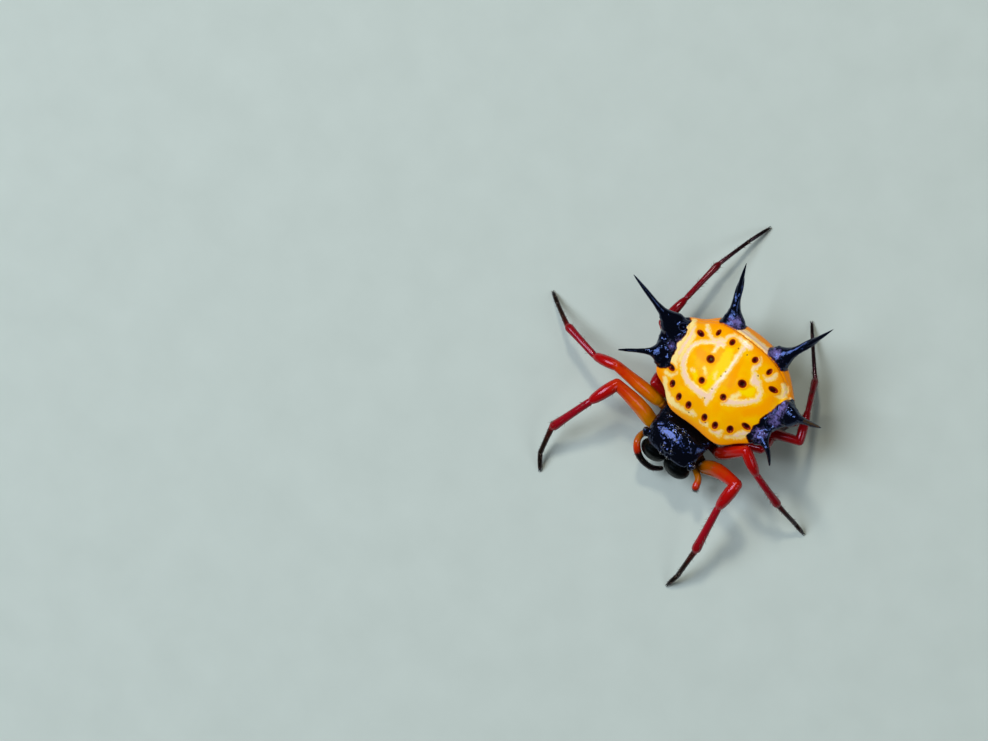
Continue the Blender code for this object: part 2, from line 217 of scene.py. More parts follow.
# %% [markdown]
# ## The board she stands on
# The floor of the studio is a pale board with a coat of matt emulsion paint, put on with a
# roller. Rolled paint dries a little uneven, so its tone drifts over a few millimetres and it
# mirrors nothing. It isn't part of the animal, so it is marked as stage.

# %% Studio: board
FLOOR_SIDE = 1200.0
PAINT_PATCHES = 0.35

painted_board, tree, shader, place = new_material("pale_painted_board")
grain = add(tree, "TexNoise", {"Vector": place, "Scale": PAINT_PATCHES, "Detail": 4.0})
tone = add(tree, "Mix", {0: grain, 6: shade("#b6c0b2"), 7: shade("#c0cabc")}, **BLEND)
connect(tree, shader, {"Base Color": tone, "Roughness": 0.7})

bm = bmesh.new()
bmesh.ops.create_grid(bm, x_segments=4, y_segments=4, size=FLOOR_SIDE * MM / 2)
board_mesh = bpy.data.meshes.new("board")
bm.to_mesh(board_mesh)
bm.free()
board_mesh.materials.append(painted_board)
board = bpy.data.objects.new("board", board_mesh)
bpy.context.scene.collection.objects.link(board)
print("board:", FLOOR_SIDE, "mm wide")

# %% [markdown]
# ## Light
# A wide soft light hangs to her right, slightly blue like an open sky, because her glossy
# black parts show little but what they reflect. A small key light gives the sharp highlights,
# and a low fill keeps her shaded side readable. All three are turned to one point inside her.

# %% Studio: lights
# Name, place, side, watts and colour
LIGHTS = (
    ("sky_light", (-255, -80, 420), 270, 2.4, "#e2ebff"),
    ("key_light", (-170, 230, 360), 48, 0.55, "#fff6ea"),
    ("fill_light", (330, 60, 330), 220, 0.45, "#dfe8f4"),
)
LIGHTS_AIM = Vector((0, 0, 3))
AIR_STRENGTH = 0.07

for name, place, side, watts, colour in LIGHTS:
    light = bpy.data.lights.new(name, "AREA")
    light.size = side * MM
    light.energy = watts
    light.color = shade(colour)[:3]
    holder = bpy.data.objects.new(name, light)
    turned_to = (LIGHTS_AIM - Vector(place)).to_track_quat("-Z", "Y").to_matrix().to_4x4()
    holder.matrix_world = Matrix.Translation(Vector(place) * MM) @ turned_to
    bpy.context.scene.collection.objects.link(holder)

world = bpy.data.worlds.new("studio_air")
world.use_nodes = True
connect(world.node_tree, world.node_tree.nodes["Background"],
        {"Color": shade("#dfe4ea"), "Strength": AIR_STRENGTH})
bpy.context.scene.world = world
bpy.context.scene.view_settings.view_transform = "Standard"
print("lights:", [name for name, *_ in LIGHTS])

# %% [markdown]
# ## Smooth curves
# No line on an animal is straight. A few points are enough to draw one of hers, if a smooth
# curve then runs through all of them. This kind bends between two points by what their
# neighbours do, so it never strays far from the points, and it works in any dimension.


# %% Helper: a curve through points
def curve_through(points, steps, closed=False):
    """Points on a smooth curve that passes through every given point."""
    points = [Vector(point) for point in points]
    count = len(points)
    runs = count if closed else count - 1
    curve = []
    for i in range(runs):
        corners = []
        for k in (-1, 0, 1, 2):
            corners.append(points[(i + k) % count] if closed else points[min(max(i + k, 0), count - 1)])
        a, b, c, d = corners
        for j in range(steps):
            t = j / steps
            curve.append(0.5 * (2 * b + (c - a) * t + (2 * a - 5 * b + 4 * c - d) * t ** 2
                                + (3 * b - a - 3 * c + d) * t ** 3))
    if not closed:
        curve.append(points[-1])
    return curve


print("places on a curve through 3 points:", len(curve_through(((0, 0), (1, 1), (2, 0)), 4)))

# %% [markdown]
# ## Abdomen, first shape
# The abdomen is a hard plate on top, a short wall all round and a soft cone below that ends
# at the spinnerets. Its outline is wide at the rear of the sides and almost straight in front.
# Only half of it is written down, and the other half is its mirror. The rim hangs lowest at
# the sides, like the edge of a shield.

# %% Abdomen: outline and rim
PLATE_OUTLINE = ((0.0, -3.36), (1.75, -3.38), (2.75, -2.6), (3.85, -1.65), (4.6, -0.3),
                 (4.35, 1.05), (3.1, 2.0), (1.75, 2.65), (0.0, 2.85))
OUTLINE_STEPS = 8
DROP_SIDE = 1.35
DROP_FRONT = 1.1
DROP_REAR = 0.6

right_half = [(-x, y) for x, y in reversed(PLATE_OUTLINE[1:-1])]
outline = curve_through(list(PLATE_OUTLINE) + right_half, OUTLINE_STEPS, closed=True)
outline_angles = np.array([math.atan2(point.y, point.x) for point in outline])
outline_reach = np.array([point.length for point in outline])
order = np.argsort(outline_angles)
outline_angles, outline_reach = outline_angles[order], outline_reach[order]


def reach_at(angles):
    """How far the plate's rim is from its middle in a direction."""
    return np.interp(angles, outline_angles, outline_reach, period=math.tau)


def rim_drop(angles):
    """How far the rim hangs below the middle of the plate in a direction."""
    end = np.where(np.sin(angles) < 0, DROP_FRONT, DROP_REAR)
    return DROP_SIDE * np.cos(angles) ** 2 + end * np.sin(angles) ** 2


print("plate, mm wide:", round(float(reach_at(0.0) + reach_at(math.pi)), 2))

# %% [markdown]
# ## Turning a round body
# A lathe makes a round body from one profile, and so does spin in bmesh. The profile is spun
# once round Z, and points that meet at the seam and on the axis are merged, so that the skin
# is closed. What comes out is a plain round body, and its points are pushed out afterwards.


# %% Helper: a turned body
# Points that lie nearer to each other than this become one
MERGE_WITHIN = 0.0001


def turned(bm, profile, steps):
    """Spins a profile of (radius, height) pairs once round Z into a closed skin."""
    verts = [bm.verts.new((radius, 0.0, height)) for radius, height in profile]
    edges = [bm.edges.new(pair) for pair in zip(verts, verts[1:])]
    bmesh.ops.spin(bm, geom=verts + edges, axis=(0, 0, 1), cent=(0, 0, 0), angle=math.tau, steps=steps,
                   use_merge=True)
    bmesh.ops.remove_doubles(bm, verts=bm.verts, dist=MERGE_WITHIN)


sample = bmesh.new()
turned(sample, ((0.0, 1.0), (1.0, 0.0), (0.0, -1.0)), 8)
print("a small turned body:", len(sample.verts), "points")
sample.free()

# %% [markdown]
# Each ring of the spun body stands for one line round the abdomen: on the plate, on the wall
# or on the cone below. Its level says which line it is, and every point of it is then sent to
# that line's size, depth and shift.

# %% Abdomen: body
# Below the rim: size against the outline, depth, and shift to the rear
UNDER_STATIONS = ((1.0, -1.6, 0.08), (0.95, -1.95, 0.2), (0.8, -2.3, 0.5), (0.62, -2.75, 0.95),
                  (0.43, -3.35, 1.1), (0.25, -3.95, 1.1), (0.12, -4.25, 1.05), (0.0, -4.32, 1.03))
UNDER_STEPS = 6
PLATE_RINGS = 26
WALL_RINGS = 4
OUTLINE_SIDES = 128
PLATE_CURVE = 2.4
# The wall stands out behind, by this factor, and the bulge fades out on the cone below it
WALL_BULGE = 1.12
BULGE_ENDS = 0.8
BULGE_FADE = 0.15

under_curve = curve_through(UNDER_STATIONS, UNDER_STEPS)


def abdomen_body():
    """Spins the profile, then pushes each ring out to the outline and down to its depth."""
    rings = [((k / PLATE_RINGS), "plate", None) for k in range(PLATE_RINGS + 1)]
    rings += [(1.0, "wall", k / WALL_RINGS) for k in range(1, WALL_RINGS)]
    rings += [(max(point.x, 0.0), "under", point) for point in under_curve]
    profile = [(max(size, 0.0), -level) for level, (size, _, _) in enumerate(rings)]
    bm = bmesh.new()
    turned(bm, profile, OUTLINE_SIDES)
    for vert in bm.verts:
        size, part, value = rings[round(-vert.co.z)]
        angle = math.atan2(vert.co.y, vert.co.x)
        out = float(reach_at(angle)) * size
        drop = float(rim_drop(angle))
        x, y = out * math.cos(angle), out * math.sin(angle)
        bulge = WALL_BULGE if y > 0 else 1.0
        if part == "plate":
            vert.co = (x, y, -drop * size ** PLATE_CURVE)
        elif part == "wall":
            top = under_curve[0]
            vert.co = (x, y * (1 + (bulge - 1) * value) + top.z * value, -drop + (top.y + drop) * value)
        else:
            near_rim = min(max((size - BULGE_ENDS) / BULGE_FADE, 0.0), 1.0)
            vert.co = (x, y * (1 + (bulge - 1) * near_rim) + value.z, value.y)
    return bm


abdomen = abdomen_body()
print("abdomen, first shape:", len(abdomen.verts), "points")

# %% [markdown]
# ## Frames along a path
# Most of her is tubes that bend: spines, legs, palps and fangs. A ring that travels along a
# path has to know how it is turned at each place. Turning it by as little as possible from one
# place to the next keeps the tube from twisting.


# %% Helper: frames along a path
def frames_along(path, across=None):
    """A frame at each place of a path, its Z along the path, carried without a twist."""
    last = len(path) - 1
    ahead = [(path[min(i + 1, last)] - path[max(i - 1, 0)]).normalized() for i in range(last + 1)]
    across = Vector(across) if across else ahead[0].orthogonal()
    across = (across - ahead[0] * across.dot(ahead[0])).normalized()
    frames = []
    for i, place in enumerate(path):
        if i:
            across = ahead[i - 1].rotation_difference(ahead[i]) @ across
        side = ahead[i].cross(across).normalized()
        frames.append(Matrix.Translation(place) @ Matrix((across, side, ahead[i])).transposed().to_4x4())
    return frames


straight = [Vector((0, 0, k)) for k in range(3)]
print("frames on a straight path:", len(frames_along(straight)))

# %% [markdown]
# ## A tube that bends
# The tube starts as one ring of edges, which is extruded again and again along the path, and
# each copy is set to its own width. The first and last few rings shrink like the end of an
# egg and then close to a point, so no tube has a hole or a flat end.

# %% Helpers: a ring that grows, its end, and a tube
def edges_of(ring):
    """The edges of a ring of points, each of them once and always in the same order."""
    return list(dict.fromkeys(edge for vert in ring for edge in vert.link_edges))


def next_ring(bm, edges):
    """Extrudes a ring of edges, and gives back the points and the edges of the new ring."""
    grown = bmesh.ops.extrude_edge_only(bm, edges=edges)["geom"]
    ring = [item for item in grown if isinstance(item, bmesh.types.BMVert)]
    return ring, [item for item in grown if isinstance(item, bmesh.types.BMEdge)]


def close_end(bm, ring):
    """Closes the end of a tube: its last ring becomes one point in its middle."""
    middle = sum((vert.co for vert in ring), Vector()) / len(ring)
    bmesh.ops.pointmerge(bm, verts=ring, merge_co=middle)


# The first ring of a rounded end is this share of a step away from its point
END_START = 0.35


def tube(bm, path, radii, sides, marks=None, layer=None, cap=0.6, caps=4, across=None):
    """Extrudes a ring along a path. A radius may be a pair: across and deep.

    marks are values that are written to a vertex layer, ring by ring. cap says how far an end
    bulges against its radius, caps how many rings it has, and across where its width points.
    """
    frames = frames_along(path, across)
    sizes = [Vector(radius) if isinstance(radius, tuple) else Vector((radius, radius)) for radius in radii]
    marks = marks or [0.0] * len(path)
    end_angles = [math.radians(90 * (k + END_START) / (caps + END_START)) for k in range(caps)]
    stations = []
    for angle in end_angles:
        back = Matrix.Translation((0, 0, -math.cos(angle) * min(sizes[0]) * cap))
        stations.append((frames[0] @ back, sizes[0] * math.sin(angle), marks[0]))
    stations += list(zip(frames, sizes, marks))
    for angle in reversed(end_angles):
        on = Matrix.Translation((0, 0, math.cos(angle) * min(sizes[-1]) * cap))
        stations.append((frames[-1] @ on, sizes[-1] * math.sin(angle), marks[-1]))
    ring = bmesh.ops.create_circle(bm, segments=sides, radius=1.0)["verts"]
    edges = edges_of(ring)
    first_ring = ring
    placed = Matrix.Identity(4)
    for i, (place, radii_here, mark) in enumerate(stations):
        if i:
            ring, edges = next_ring(bm, edges)
        target = place @ Matrix.Diagonal((radii_here.x, radii_here.y, 1.0, 1.0))
        bmesh.ops.transform(bm, matrix=target @ placed.inverted(), verts=ring)
        placed = target
        if layer is not None:
            for vert in ring:
                vert[layer] = mark
    close_end(bm, first_ring)
    close_end(bm, ring)


sample = bmesh.new()
tube(sample, straight, [1.0] * len(straight), 8)
print("a short tube:", len(sample.verts), "points,",
      sum(edge.is_boundary for edge in sample.edges), "open edges")
sample.free()

# %% [markdown]
# ## Six spines
# Each spine grows out of the rim on a wide root, which is flatter than it is wide, and narrows
# quickly to a slender, slightly bent thorn. Its path is a curve with three control points, a
# root well inside the body, a bend and a tip, and a short table gives its half width and half
# height at shares of its length. Nothing on her is quite even, so the left and the right ones
# have their own points.

# %% Abdomen: paths of the spines
# Root, bend and tip of each spine, on her left (1) and on her right (-1)
SPINES = {
    ("front", 1): ((3.45, -1.1, -1.4), (4.7, -1.72, -0.85), (5.31, -2.13, 0.05)),
    ("front", -1): ((3.6, -0.75, -1.4), (4.85, -1.5, -0.85), (5.99, -2.25, 0.05)),
    ("middle", 1): ((3.9, 0.6, -1.35), (5.5, 1.1, -0.6), (6.7, 1.71, 1.2)),
    ("middle", -1): ((3.9, 0.6, -1.35), (5.75, 1.1, -0.6), (7.57, 2.06, 1.2)),
    ("rear", 1): ((1.25, 2.05, -1.55), (2.5, 3.9, -1.3), (3.6, 6.43, -0.4)),
    ("rear", -1): ((1.15, 2.05, -1.55), (2.25, 3.75, -1.3), (2.87, 6.4, -0.4)),
}
# Share of a spine's length, half width and half height
SPINE_PROFILES = {
    "front": ((0.0, 0.85, 0.45), (0.24, 0.74, 0.45), (0.32, 0.4, 0.34), (0.4, 0.25, 0.24), (0.5, 0.17, 0.17),
              (0.66, 0.12, 0.12), (0.83, 0.1, 0.1), (1.0, 0.045, 0.045)),
    "middle": ((0.0, 0.9, 0.5), (0.18, 0.8, 0.5), (0.27, 0.5, 0.4), (0.35, 0.3, 0.28), (0.49, 0.2, 0.2),
               (0.72, 0.18, 0.18), (0.88, 0.125, 0.125), (0.95, 0.1, 0.1), (1.0, 0.055, 0.055)),
    "rear": ((0.0, 0.6, 0.36), (0.12, 0.7, 0.4), (0.22, 0.76, 0.42), (0.27, 0.66, 0.4), (0.31, 0.53, 0.37),
             (0.35, 0.41, 0.33), (0.39, 0.33, 0.29), (0.45, 0.26, 0.25), (0.51, 0.22, 0.22),
             (0.67, 0.2, 0.2), (0.84, 0.15, 0.15), (0.95, 0.09, 0.09), (1.0, 0.05, 0.05)),
}
SPINE_STEPS = 60


def spine_path(kind, side):
    """Places down a spine, and its half width and half height at each of them."""
    root, bend, tip = (Vector((side * x, y, z)) for x, y, z in SPINES[kind, side])
    path = []
    for i in range(SPINE_STEPS + 1):
        t = i / SPINE_STEPS
        path.append(root * (1 - t) ** 2 + bend * 2 * t * (1 - t) + tip * t * t)
    runs = np.cumsum([0.0] + [(b - a).length for a, b in zip(path, path[1:])])
    shares = [share for share, _, _ in SPINE_PROFILES[kind]]
    sizes = [np.interp(runs / runs[-1], shares, [row[i] for row in SPINE_PROFILES[kind]]) for i in (1, 2)]
    return path, sizes[0], sizes[1]


spines = {key: spine_path(*key) for key in SPINES}
print("spines:", {key: round((path[-1] - path[0]).length, 1) for key, (path, _, _) in spines.items()})

# %% [markdown]
# On each side a low bridge joins the roots of the two side spines, and the belly has three
# low swellings: the plate of the genital opening and the covers of the book lungs. Spines,
# bridges and swellings all go into the same bmesh as the body and run deep into it.

# %% Helpers: balls and flat tubes for the common skin
SPINE_SIDES = 28
ABDOMEN_VOXEL = 0.0485
# A thorn thinner than this would fall through the grid of the skin that comes next
THINNEST = 1.6 * ABDOMEN_VOXEL
BALL_SEGMENTS, BALL_RINGS = 24, 16


def add_ball(bm, middle, half_sizes):
    """A ball of three half sizes, for the common skin to cover."""
    placed = Matrix.Translation(middle) @ Matrix.Diagonal((*half_sizes, 1))
    bmesh.ops.create_uvsphere(bm, u_segments=BALL_SEGMENTS, v_segments=BALL_RINGS, radius=1.0,
                              matrix=placed)


def add_flat_tube(bm, path, widths, heights):
    """A tube whose rings lie flat: their width is level and their height is not."""
    level = (path[-1] - path[0]).cross(Vector((0, 0, 1)))
    sizes = [(max(w, THINNEST), max(h, THINNEST)) for w, h in zip(widths, heights)]
    tube(bm, path, sizes, SPINE_SIDES, across=level)


print("thinnest half width, mm:", round(THINNEST, 3))

# %% Abdomen: spines, bridges and swellings
# The middle line of the bridge on each side, and its half width and half height
BRIDGES = {
    1: ((3.75, -1.3, -1.4), (3.98, -0.63, -1.38), (4.2, -0.3, -1.36), (4.45, 0.0, -1.36),
        (4.9, 0.65, -1.25)),
    -1: ((4.3, -1.3, -1.4), (4.48, -0.6, -1.38), (4.58, -0.2, -1.36), (4.75, 0.2, -1.34), (5.1, 0.7, -1.2)),
}
BRIDGE_SIZE = (0.27, 0.3)
BRIDGE_STEPS = 6
# Middle and half sizes of the genital plate and of the cover of a book lung
BELLY_BUMPS = (((0.0, -0.2, -3.42), (0.2, 0.28, 0.16)), ((0.72, -0.5, -2.95), (0.34, 0.42, 0.16)))

for path, widths, heights in spines.values():
    add_flat_tube(abdomen, path, widths, heights)
for side, line in BRIDGES.items():
    path = curve_through([(side * x, y, z) for x, y, z in line], BRIDGE_STEPS)
    add_flat_tube(abdomen, path, [BRIDGE_SIZE[0]] * len(path), [BRIDGE_SIZE[1]] * len(path))
for (x, y, z), half_sizes in BELLY_BUMPS:
    for side in (1, -1):
        add_ball(abdomen, (side * x, y, z), half_sizes)
print("abdomen with its spines:", len(abdomen.verts), "points")

# %% [markdown]
# ## One skin for all of it
# On the real animal a spine has no seam: it grows out of the plate. Joining shapes by cutting
# them against each other leaves sharp lines, but a Remesh modifier in voxel mode draws one new
# skin round everything, of even small squares. Its grid has to be finer than the thinnest
# thorn, and still keep the piece under 200,000 triangles.


# %% Helper: one common skin
def skinned(bm, voxel):
    """One closed skin, of even small squares, round all the closed shapes of a bmesh."""
    rough = bpy.data.objects.new("rough", bpy.data.meshes.new("rough"))
    bmesh.ops.recalc_face_normals(bm, faces=bm.faces)
    bm.to_mesh(rough.data)
    bm.free()
    bpy.context.scene.collection.objects.link(rough)
    remesh = rough.modifiers.new("skin", "REMESH")
    remesh.mode = "VOXEL"
    remesh.voxel_size = voxel
    depsgraph = bpy.context.evaluated_depsgraph_get()
    mesh = bpy.data.meshes.new_from_object(rough.evaluated_get(depsgraph))
    bpy.data.objects.remove(rough, do_unlink=True)
    return mesh


abdomen_mesh = skinned(abdomen, ABDOMEN_VOXEL)
print("abdomen skin:", len(abdomen_mesh.vertices), "points")

# %% [markdown]
# ## Moving many points at once
# The skin has about a hundred thousand points, so its points and normals are read into one
# array, changed all together, and written back.


# %% Helpers: points of a mesh
def places_of(mesh):
    """The places of a mesh's points, one row for each."""
    flat = np.empty(len(mesh.vertices) * 3)
    mesh.vertices.foreach_get("co", flat)
    return flat.reshape(-1, 3)


def normals_of(mesh):
    """The directions that a mesh's surface faces at its points."""
    flat = np.empty(len(mesh.vertices) * 3)
    mesh.vertices.foreach_get("normal", flat)
    return flat.reshape(-1, 3)


def move_to(mesh, places):
    """Writes the places of all points back to a mesh."""
    mesh.vertices.foreach_set("co", np.ascontiguousarray(places, dtype=np.float32).ravel())
    mesh.update()


def reach_from(middle, places):
    """Distance of each place from one point."""
    return np.linalg.norm(places - np.array(middle), axis=1)


middle_reach = reach_from((0, 0, 0), places_of(abdomen_mesh))
print("furthest point from the middle of the plate, mm:", round(float(middle_reach.max()), 2))

# %% [markdown]
# ## Smoothing the skin
# The common skin still has the small steps of its grid. A few rounds of relaxing, in which
# each point moves half of the way to the middle of its neighbours, remove them and round the
# rim and the roots. Between two turns of it the corners are nudged to where hers depart from
# the even outline.

# %% Abdomen: relax and nudge
RELAX_SHARE = 0.5
ROUNDS_BEFORE = 5
ROUNDS_AFTER = 8
# Where her own shape departs from the even outline: middle, reach, and how far it is pushed
NUDGES = (
    ((4.45, -0.75, -1.6), 0.9, (-0.36, 0.1, 0.0)),
    ((-3.6, -2.15, -1.4), 0.7, (-0.24, -0.2, 0.0)),
    ((-3.2, 2.0, -1.5), 0.8, (0.06, -0.2, 0.0)),
    ((3.9, 1.5, -1.2), 1.0, (-0.25, -0.15, 0.0)),
)


def relax(mesh, rounds):
    """Moves each point part of the way to the middle of its neighbours, some rounds over."""
    pairs = np.empty(len(mesh.edges) * 2, dtype=np.int64)
    mesh.edges.foreach_get("vertices", pairs)
    first, second = pairs.reshape(-1, 2).T
    count = len(mesh.vertices)
    neighbours = np.bincount(first, minlength=count) + np.bincount(second, minlength=count)
    places = places_of(mesh)
    for _ in range(rounds):
        for axis in range(3):
            total = np.bincount(first, weights=places[second, axis], minlength=count)
            total += np.bincount(second, weights=places[first, axis], minlength=count)
            places[:, axis] += RELAX_SHARE * (total / neighbours - places[:, axis])
    move_to(mesh, places)


relax(abdomen_mesh, ROUNDS_BEFORE)
places = places_of(abdomen_mesh)
for middle, reach, push in NUDGES:
    share = np.exp(-(reach_from(middle, places) / reach) ** 2)
    places += share[:, None] * np.array(push)
move_to(abdomen_mesh, places)
relax(abdomen_mesh, ROUNDS_AFTER)
print("rounds of relaxing:", ROUNDS_BEFORE + ROUNDS_AFTER)

# %% [markdown]
# ## Thorns as slender as hers
# Relaxing shrinks a thin thorn, and the grid had made it too thick to begin with. So each
# point of a thorn is set back on its exact radius round the spine's path. That needs the
# nearest place on the path for every point, and a smooth step between where a spine is held
# to its radius and where it is left to melt into the body.


# %% Helpers: nearest place on a path, and a smooth step
def nearest_on(path, places):
    """For each place: distance to a path, the number of the nearest path point, and its centre."""
    points = np.array(path)
    best = np.full(len(places), np.inf)
    share = np.zeros(len(places))
    centre = np.zeros((len(places), 3))
    for i in range(len(points) - 1):
        run = points[i + 1] - points[i]
        t = np.clip(((places - points[i]) @ run) / (run @ run), 0.0, 1.0)
        on_run = points[i] + t[:, None] * run
        reach = np.linalg.norm(places - on_run, axis=1)
        closer = reach < best
        best[closer] = reach[closer]
        share[closer] = (i + t)[closer]
        centre[closer] = on_run[closer]
    return best, share, centre


def ramped(values, start, end):
    """0 up to start, 1 from end, and a smooth rise between them."""
    t = np.clip((values - start) / (end - start), 0.0, 1.0)
    return t * t * (3 - 2 * t)


print("a smooth step:", ramped(np.linspace(0, 1, 5), 0.0, 1.0))

# %% Abdomen: thorns set on their radii
# A number for a distance that is far from every mark
FAR = 9.0
# How far from the middle of its path a spine's points may lie, and how near its own surface
SPINE_REACH = 4.0
SURFACE_REACH = 0.35
# A point on the path itself has no direction outwards, so its distance counts as this much
NEVER_ZERO = 1e-6
# Shares of a spine's length between which its points come to be held to its radius
HOLD_FROM, HOLD_FULL = 0.36, 0.55
# The gap says how far a point is from a spine. It is made larger at the very root, and smaller
# past these shares of the length, so that the black covers the whole thorn
ROOT_GAP = 2.0
THORN_GAP = 0.3
THORN_FROM, THORN_FULL = 0.24, 0.42

places = places_of(abdomen_mesh)
spine_gap = {}
for key, (path, widths, _) in spines.items():
    near = reach_from(path[SPINE_STEPS // 2], places) < SPINE_REACH
    best, share, centre = nearest_on(path, places[near])
    radius = np.interp(share, np.arange(len(widths)), widths)
    hold = ramped(share / SPINE_STEPS, HOLD_FROM, HOLD_FULL) * (best < radius + SURFACE_REACH)
    outward = (places[near] - centre) / np.maximum(best, NEVER_ZERO)[:, None]
    target = centre + outward * radius[:, None]
    moved = places[near] + (target - places[near]) * hold[:, None]
    gap = np.full(len(places), FAR)
    gap[near] = (best - radius + ROOT_GAP * (share < 1.0)
                 - THORN_GAP * ramped(share / SPINE_STEPS, THORN_FROM, THORN_FULL))
    spine_gap[key] = gap
    places[near] = moved
move_to(abdomen_mesh, places)
print("thorns set on their radii:", len(spine_gap))

# %% [markdown]
# ## Where each point lies on the shell
# Marks on the shell need to know where they are. Each point gets its size against the
# outline, which is 1 on the rim, and its edge distance, which is below 0 on the plate and
# counts millimetres down the wall.

# %% Abdomen: plate, rim and wall
# A point this close above or below the plate's own curve still counts as on top
TOP_SLACK = 0.25
# Marks of the plate stop this far down the wall
PLATE_MARKS_END = 0.5

places = places_of(abdomen_mesh)
normals = normals_of(abdomen_mesh)
flat = places[:, :2]
angles = np.arctan2(places[:, 1], places[:, 0])
size = np.linalg.norm(flat, axis=1) / reach_at(angles)
past_rim = (size - 1.0) * reach_at(angles)
rim_height = -rim_drop(angles)
on_top = (size < 1.0) & (places[:, 2] > rim_height * size ** PLATE_CURVE - TOP_SLACK)
edge = np.where(on_top, past_rim, np.maximum(rim_height - places[:, 2], 0.0))
below_plate = np.where(on_top | (edge < PLATE_MARKS_END), 0.0, FAR)
print("share of points on the plate:", round(float(on_top.mean()), 2))

# %% [markdown]
# ## Pits, dots and craters
# A ring of small red-brown pits runs round the plate, where muscles are fixed inside, with
# four more in the middle and a few fine dots between them. The black corners that carry the
# side spines have shiny craters. For every point of the skin the distance to the edge of the
# nearest of each is worked out, negative inside it.

# %% Abdomen: pits, dots and craters
# Pits: distance from the middle line, place along it, and half sizes across and along
PITS = ((2.84, -1.3, 0.26, 0.17), (2.2, -2.03, 0.18, 0.23), (1.38, -2.37, 0.17, 0.23),
        (0.6, -2.38, 0.17, 0.23), (2.72, 1.38, 0.26, 0.15), (1.9, 2.08, 0.13, 0.19),
        (0.85, 2.17, 0.16, 0.18), (1.19, 0.65, 0.24, 0.22), (0.81, -0.66, 0.18, 0.19))
DOTS = ((-0.28, 2.12), (0.36, 2.13), (-0.1, -0.69), (-0.17, -1.4), (-0.11, 0.25), (-0.04, 0.62),
        (0.62, -2.62), (-0.55, -2.78), (1.6, 1.55))
CRATERS = ((3.7, -0.32, 0.28), (3.85, 1.0, 0.2))
PIT_SCALE = 1.08
DOT_RADIUS = 0.05
# Her middle line isn't quite straight: it leans a little to her left towards the rear
LEAN_PER_MM, LEAN_START = 0.05, -0.06

pit = np.full(len(places), FAR)
for along_x, along_y, half_x, half_y in PITS:
    for side in (1, -1):
        x = side * along_x + LEAN_PER_MM * along_y + LEAN_START
        spread = np.hypot((flat[:, 0] - x) / half_x, (flat[:, 1] - along_y) / half_y) / PIT_SCALE
        pit = np.minimum(pit, (spread - 1.0) * (half_x + half_y) / 2)
dot = np.full(len(places), FAR)
for x, y in DOTS:
    dot = np.minimum(dot, np.hypot(flat[:, 0] - x, flat[:, 1] - y) - DOT_RADIUS)
crater = np.full(len(places), FAR)
for x, y, radius in CRATERS:
    for side in (1, -1):
        crater = np.minimum(crater, np.hypot(flat[:, 0] - side * x, flat[:, 1] - y) - radius)
pit, dot, crater = pit + below_plate, dot + below_plate, crater + below_plate
print("pits:", 2 * len(PITS), "dots:", len(DOTS), "craters:", 2 * len(CRATERS))

# %% [markdown]
# ## Relief
# All of these are a few hundredths of a millimetre deep. A bump in the material would show
# them in a picture, but not in the mesh, so the skin's own points are pushed in or out along
# their normals. A pit and a crater also get a low lip, and behind, a fine groove parts the
# plate from a swelling at the top of the wall.

# %% Abdomen: relief
# Each mark: its depth, the distances from its edge between which it rises to the surface, and
# the height, the distance and the width of its lip
MARK_RELIEF = ((pit, 0.1, (-0.14, 0.02), (0.022, 0.05, 0.05)),
               (dot, 0.03, (-0.04, 0.03), (0.0, 0.0, 1.0)),
               (crater, 0.12, (-0.2, 0.0), (0.07, 0.05, 0.08)))
# Groove and swelling behind: height, middle down from the rim, and width
GROOVE_DEPTH, GROOVE_PLACE, GROOVE_WIDTH = 0.07, 0.03, 0.045
SWELLING_HEIGHT, SWELLING_PLACE, SWELLING_WIDTH = 0.03, 0.2, 0.09
# Both begin between these places along her
GROOVE_FROM, GROOVE_FULL = 0.9, 1.5


def ridge(distances, middle, width):
    """1 along the line at one distance, and falling off smoothly on both sides of it."""
    return np.exp(-((distances - middle) / width) ** 2)


relief = np.zeros(len(places))
for mark, depth, (bottom, top), (lip, middle, width) in MARK_RELIEF:
    relief -= depth * (1 - ramped(mark, bottom, top))
    relief += lip * ridge(mark, middle, width)
behind = ramped(places[:, 1], GROOVE_FROM, GROOVE_FULL)
relief -= GROOVE_DEPTH * behind * ridge(edge, GROOVE_PLACE, GROOVE_WIDTH)
relief += SWELLING_HEIGHT * behind * ridge(edge, SWELLING_PLACE, SWELLING_WIDTH)
move_to(abdomen_mesh, places + normals * relief[:, None])
print("deepest relief, mm:", round(float(relief.min()), 2))

# %% [markdown]
# ## Where she is black
# The two front corners and the roots of the rear spines are black. Each corner has an uneven
# inner border, which is drawn as a line of points, and it ends towards her rear and in front.
# Round the rear spines the black follows the gap to the spine.

# %% Abdomen: black corners
# How far the black reaches beyond the root of each kind of spine
BLACK_MARGINS = {"front": 0.16, "middle": 0.04, "rear": 0.06}
# Where a corner ends towards her rear, on her left (1) and on her right (-1), and in front
REAR_LIMITS = {1: 1.36, -1: 1.1}
FRONT_LIMIT = -2.0
# Behind, the black starts this far outside the rim
REAR_RIM_GAP = 0.15
# The inner border of the black on each side: place along her and distance from the middle line
BLACK_BORDERS = {
    1: ((1.34, 3.95), (1.24, 3.65), (0.86, 3.44), (0.48, 3.42), (0.2, 3.36), (-0.14, 3.2),
        (-0.43, 3.13), (-0.7, 3.21), (-1.0, 3.02), (-1.33, 3.06), (-1.67, 3.12), (-2.05, 3.3)),
    -1: ((1.34, 4.1), (1.04, 3.52), (0.73, 3.39), (0.36, 3.45), (0.06, 3.53), (-0.2, 3.33),
         (-0.55, 3.3), (-1.0, 3.35), (-1.37, 3.44), (-1.72, 3.7), (-2.0, 3.96)),
}

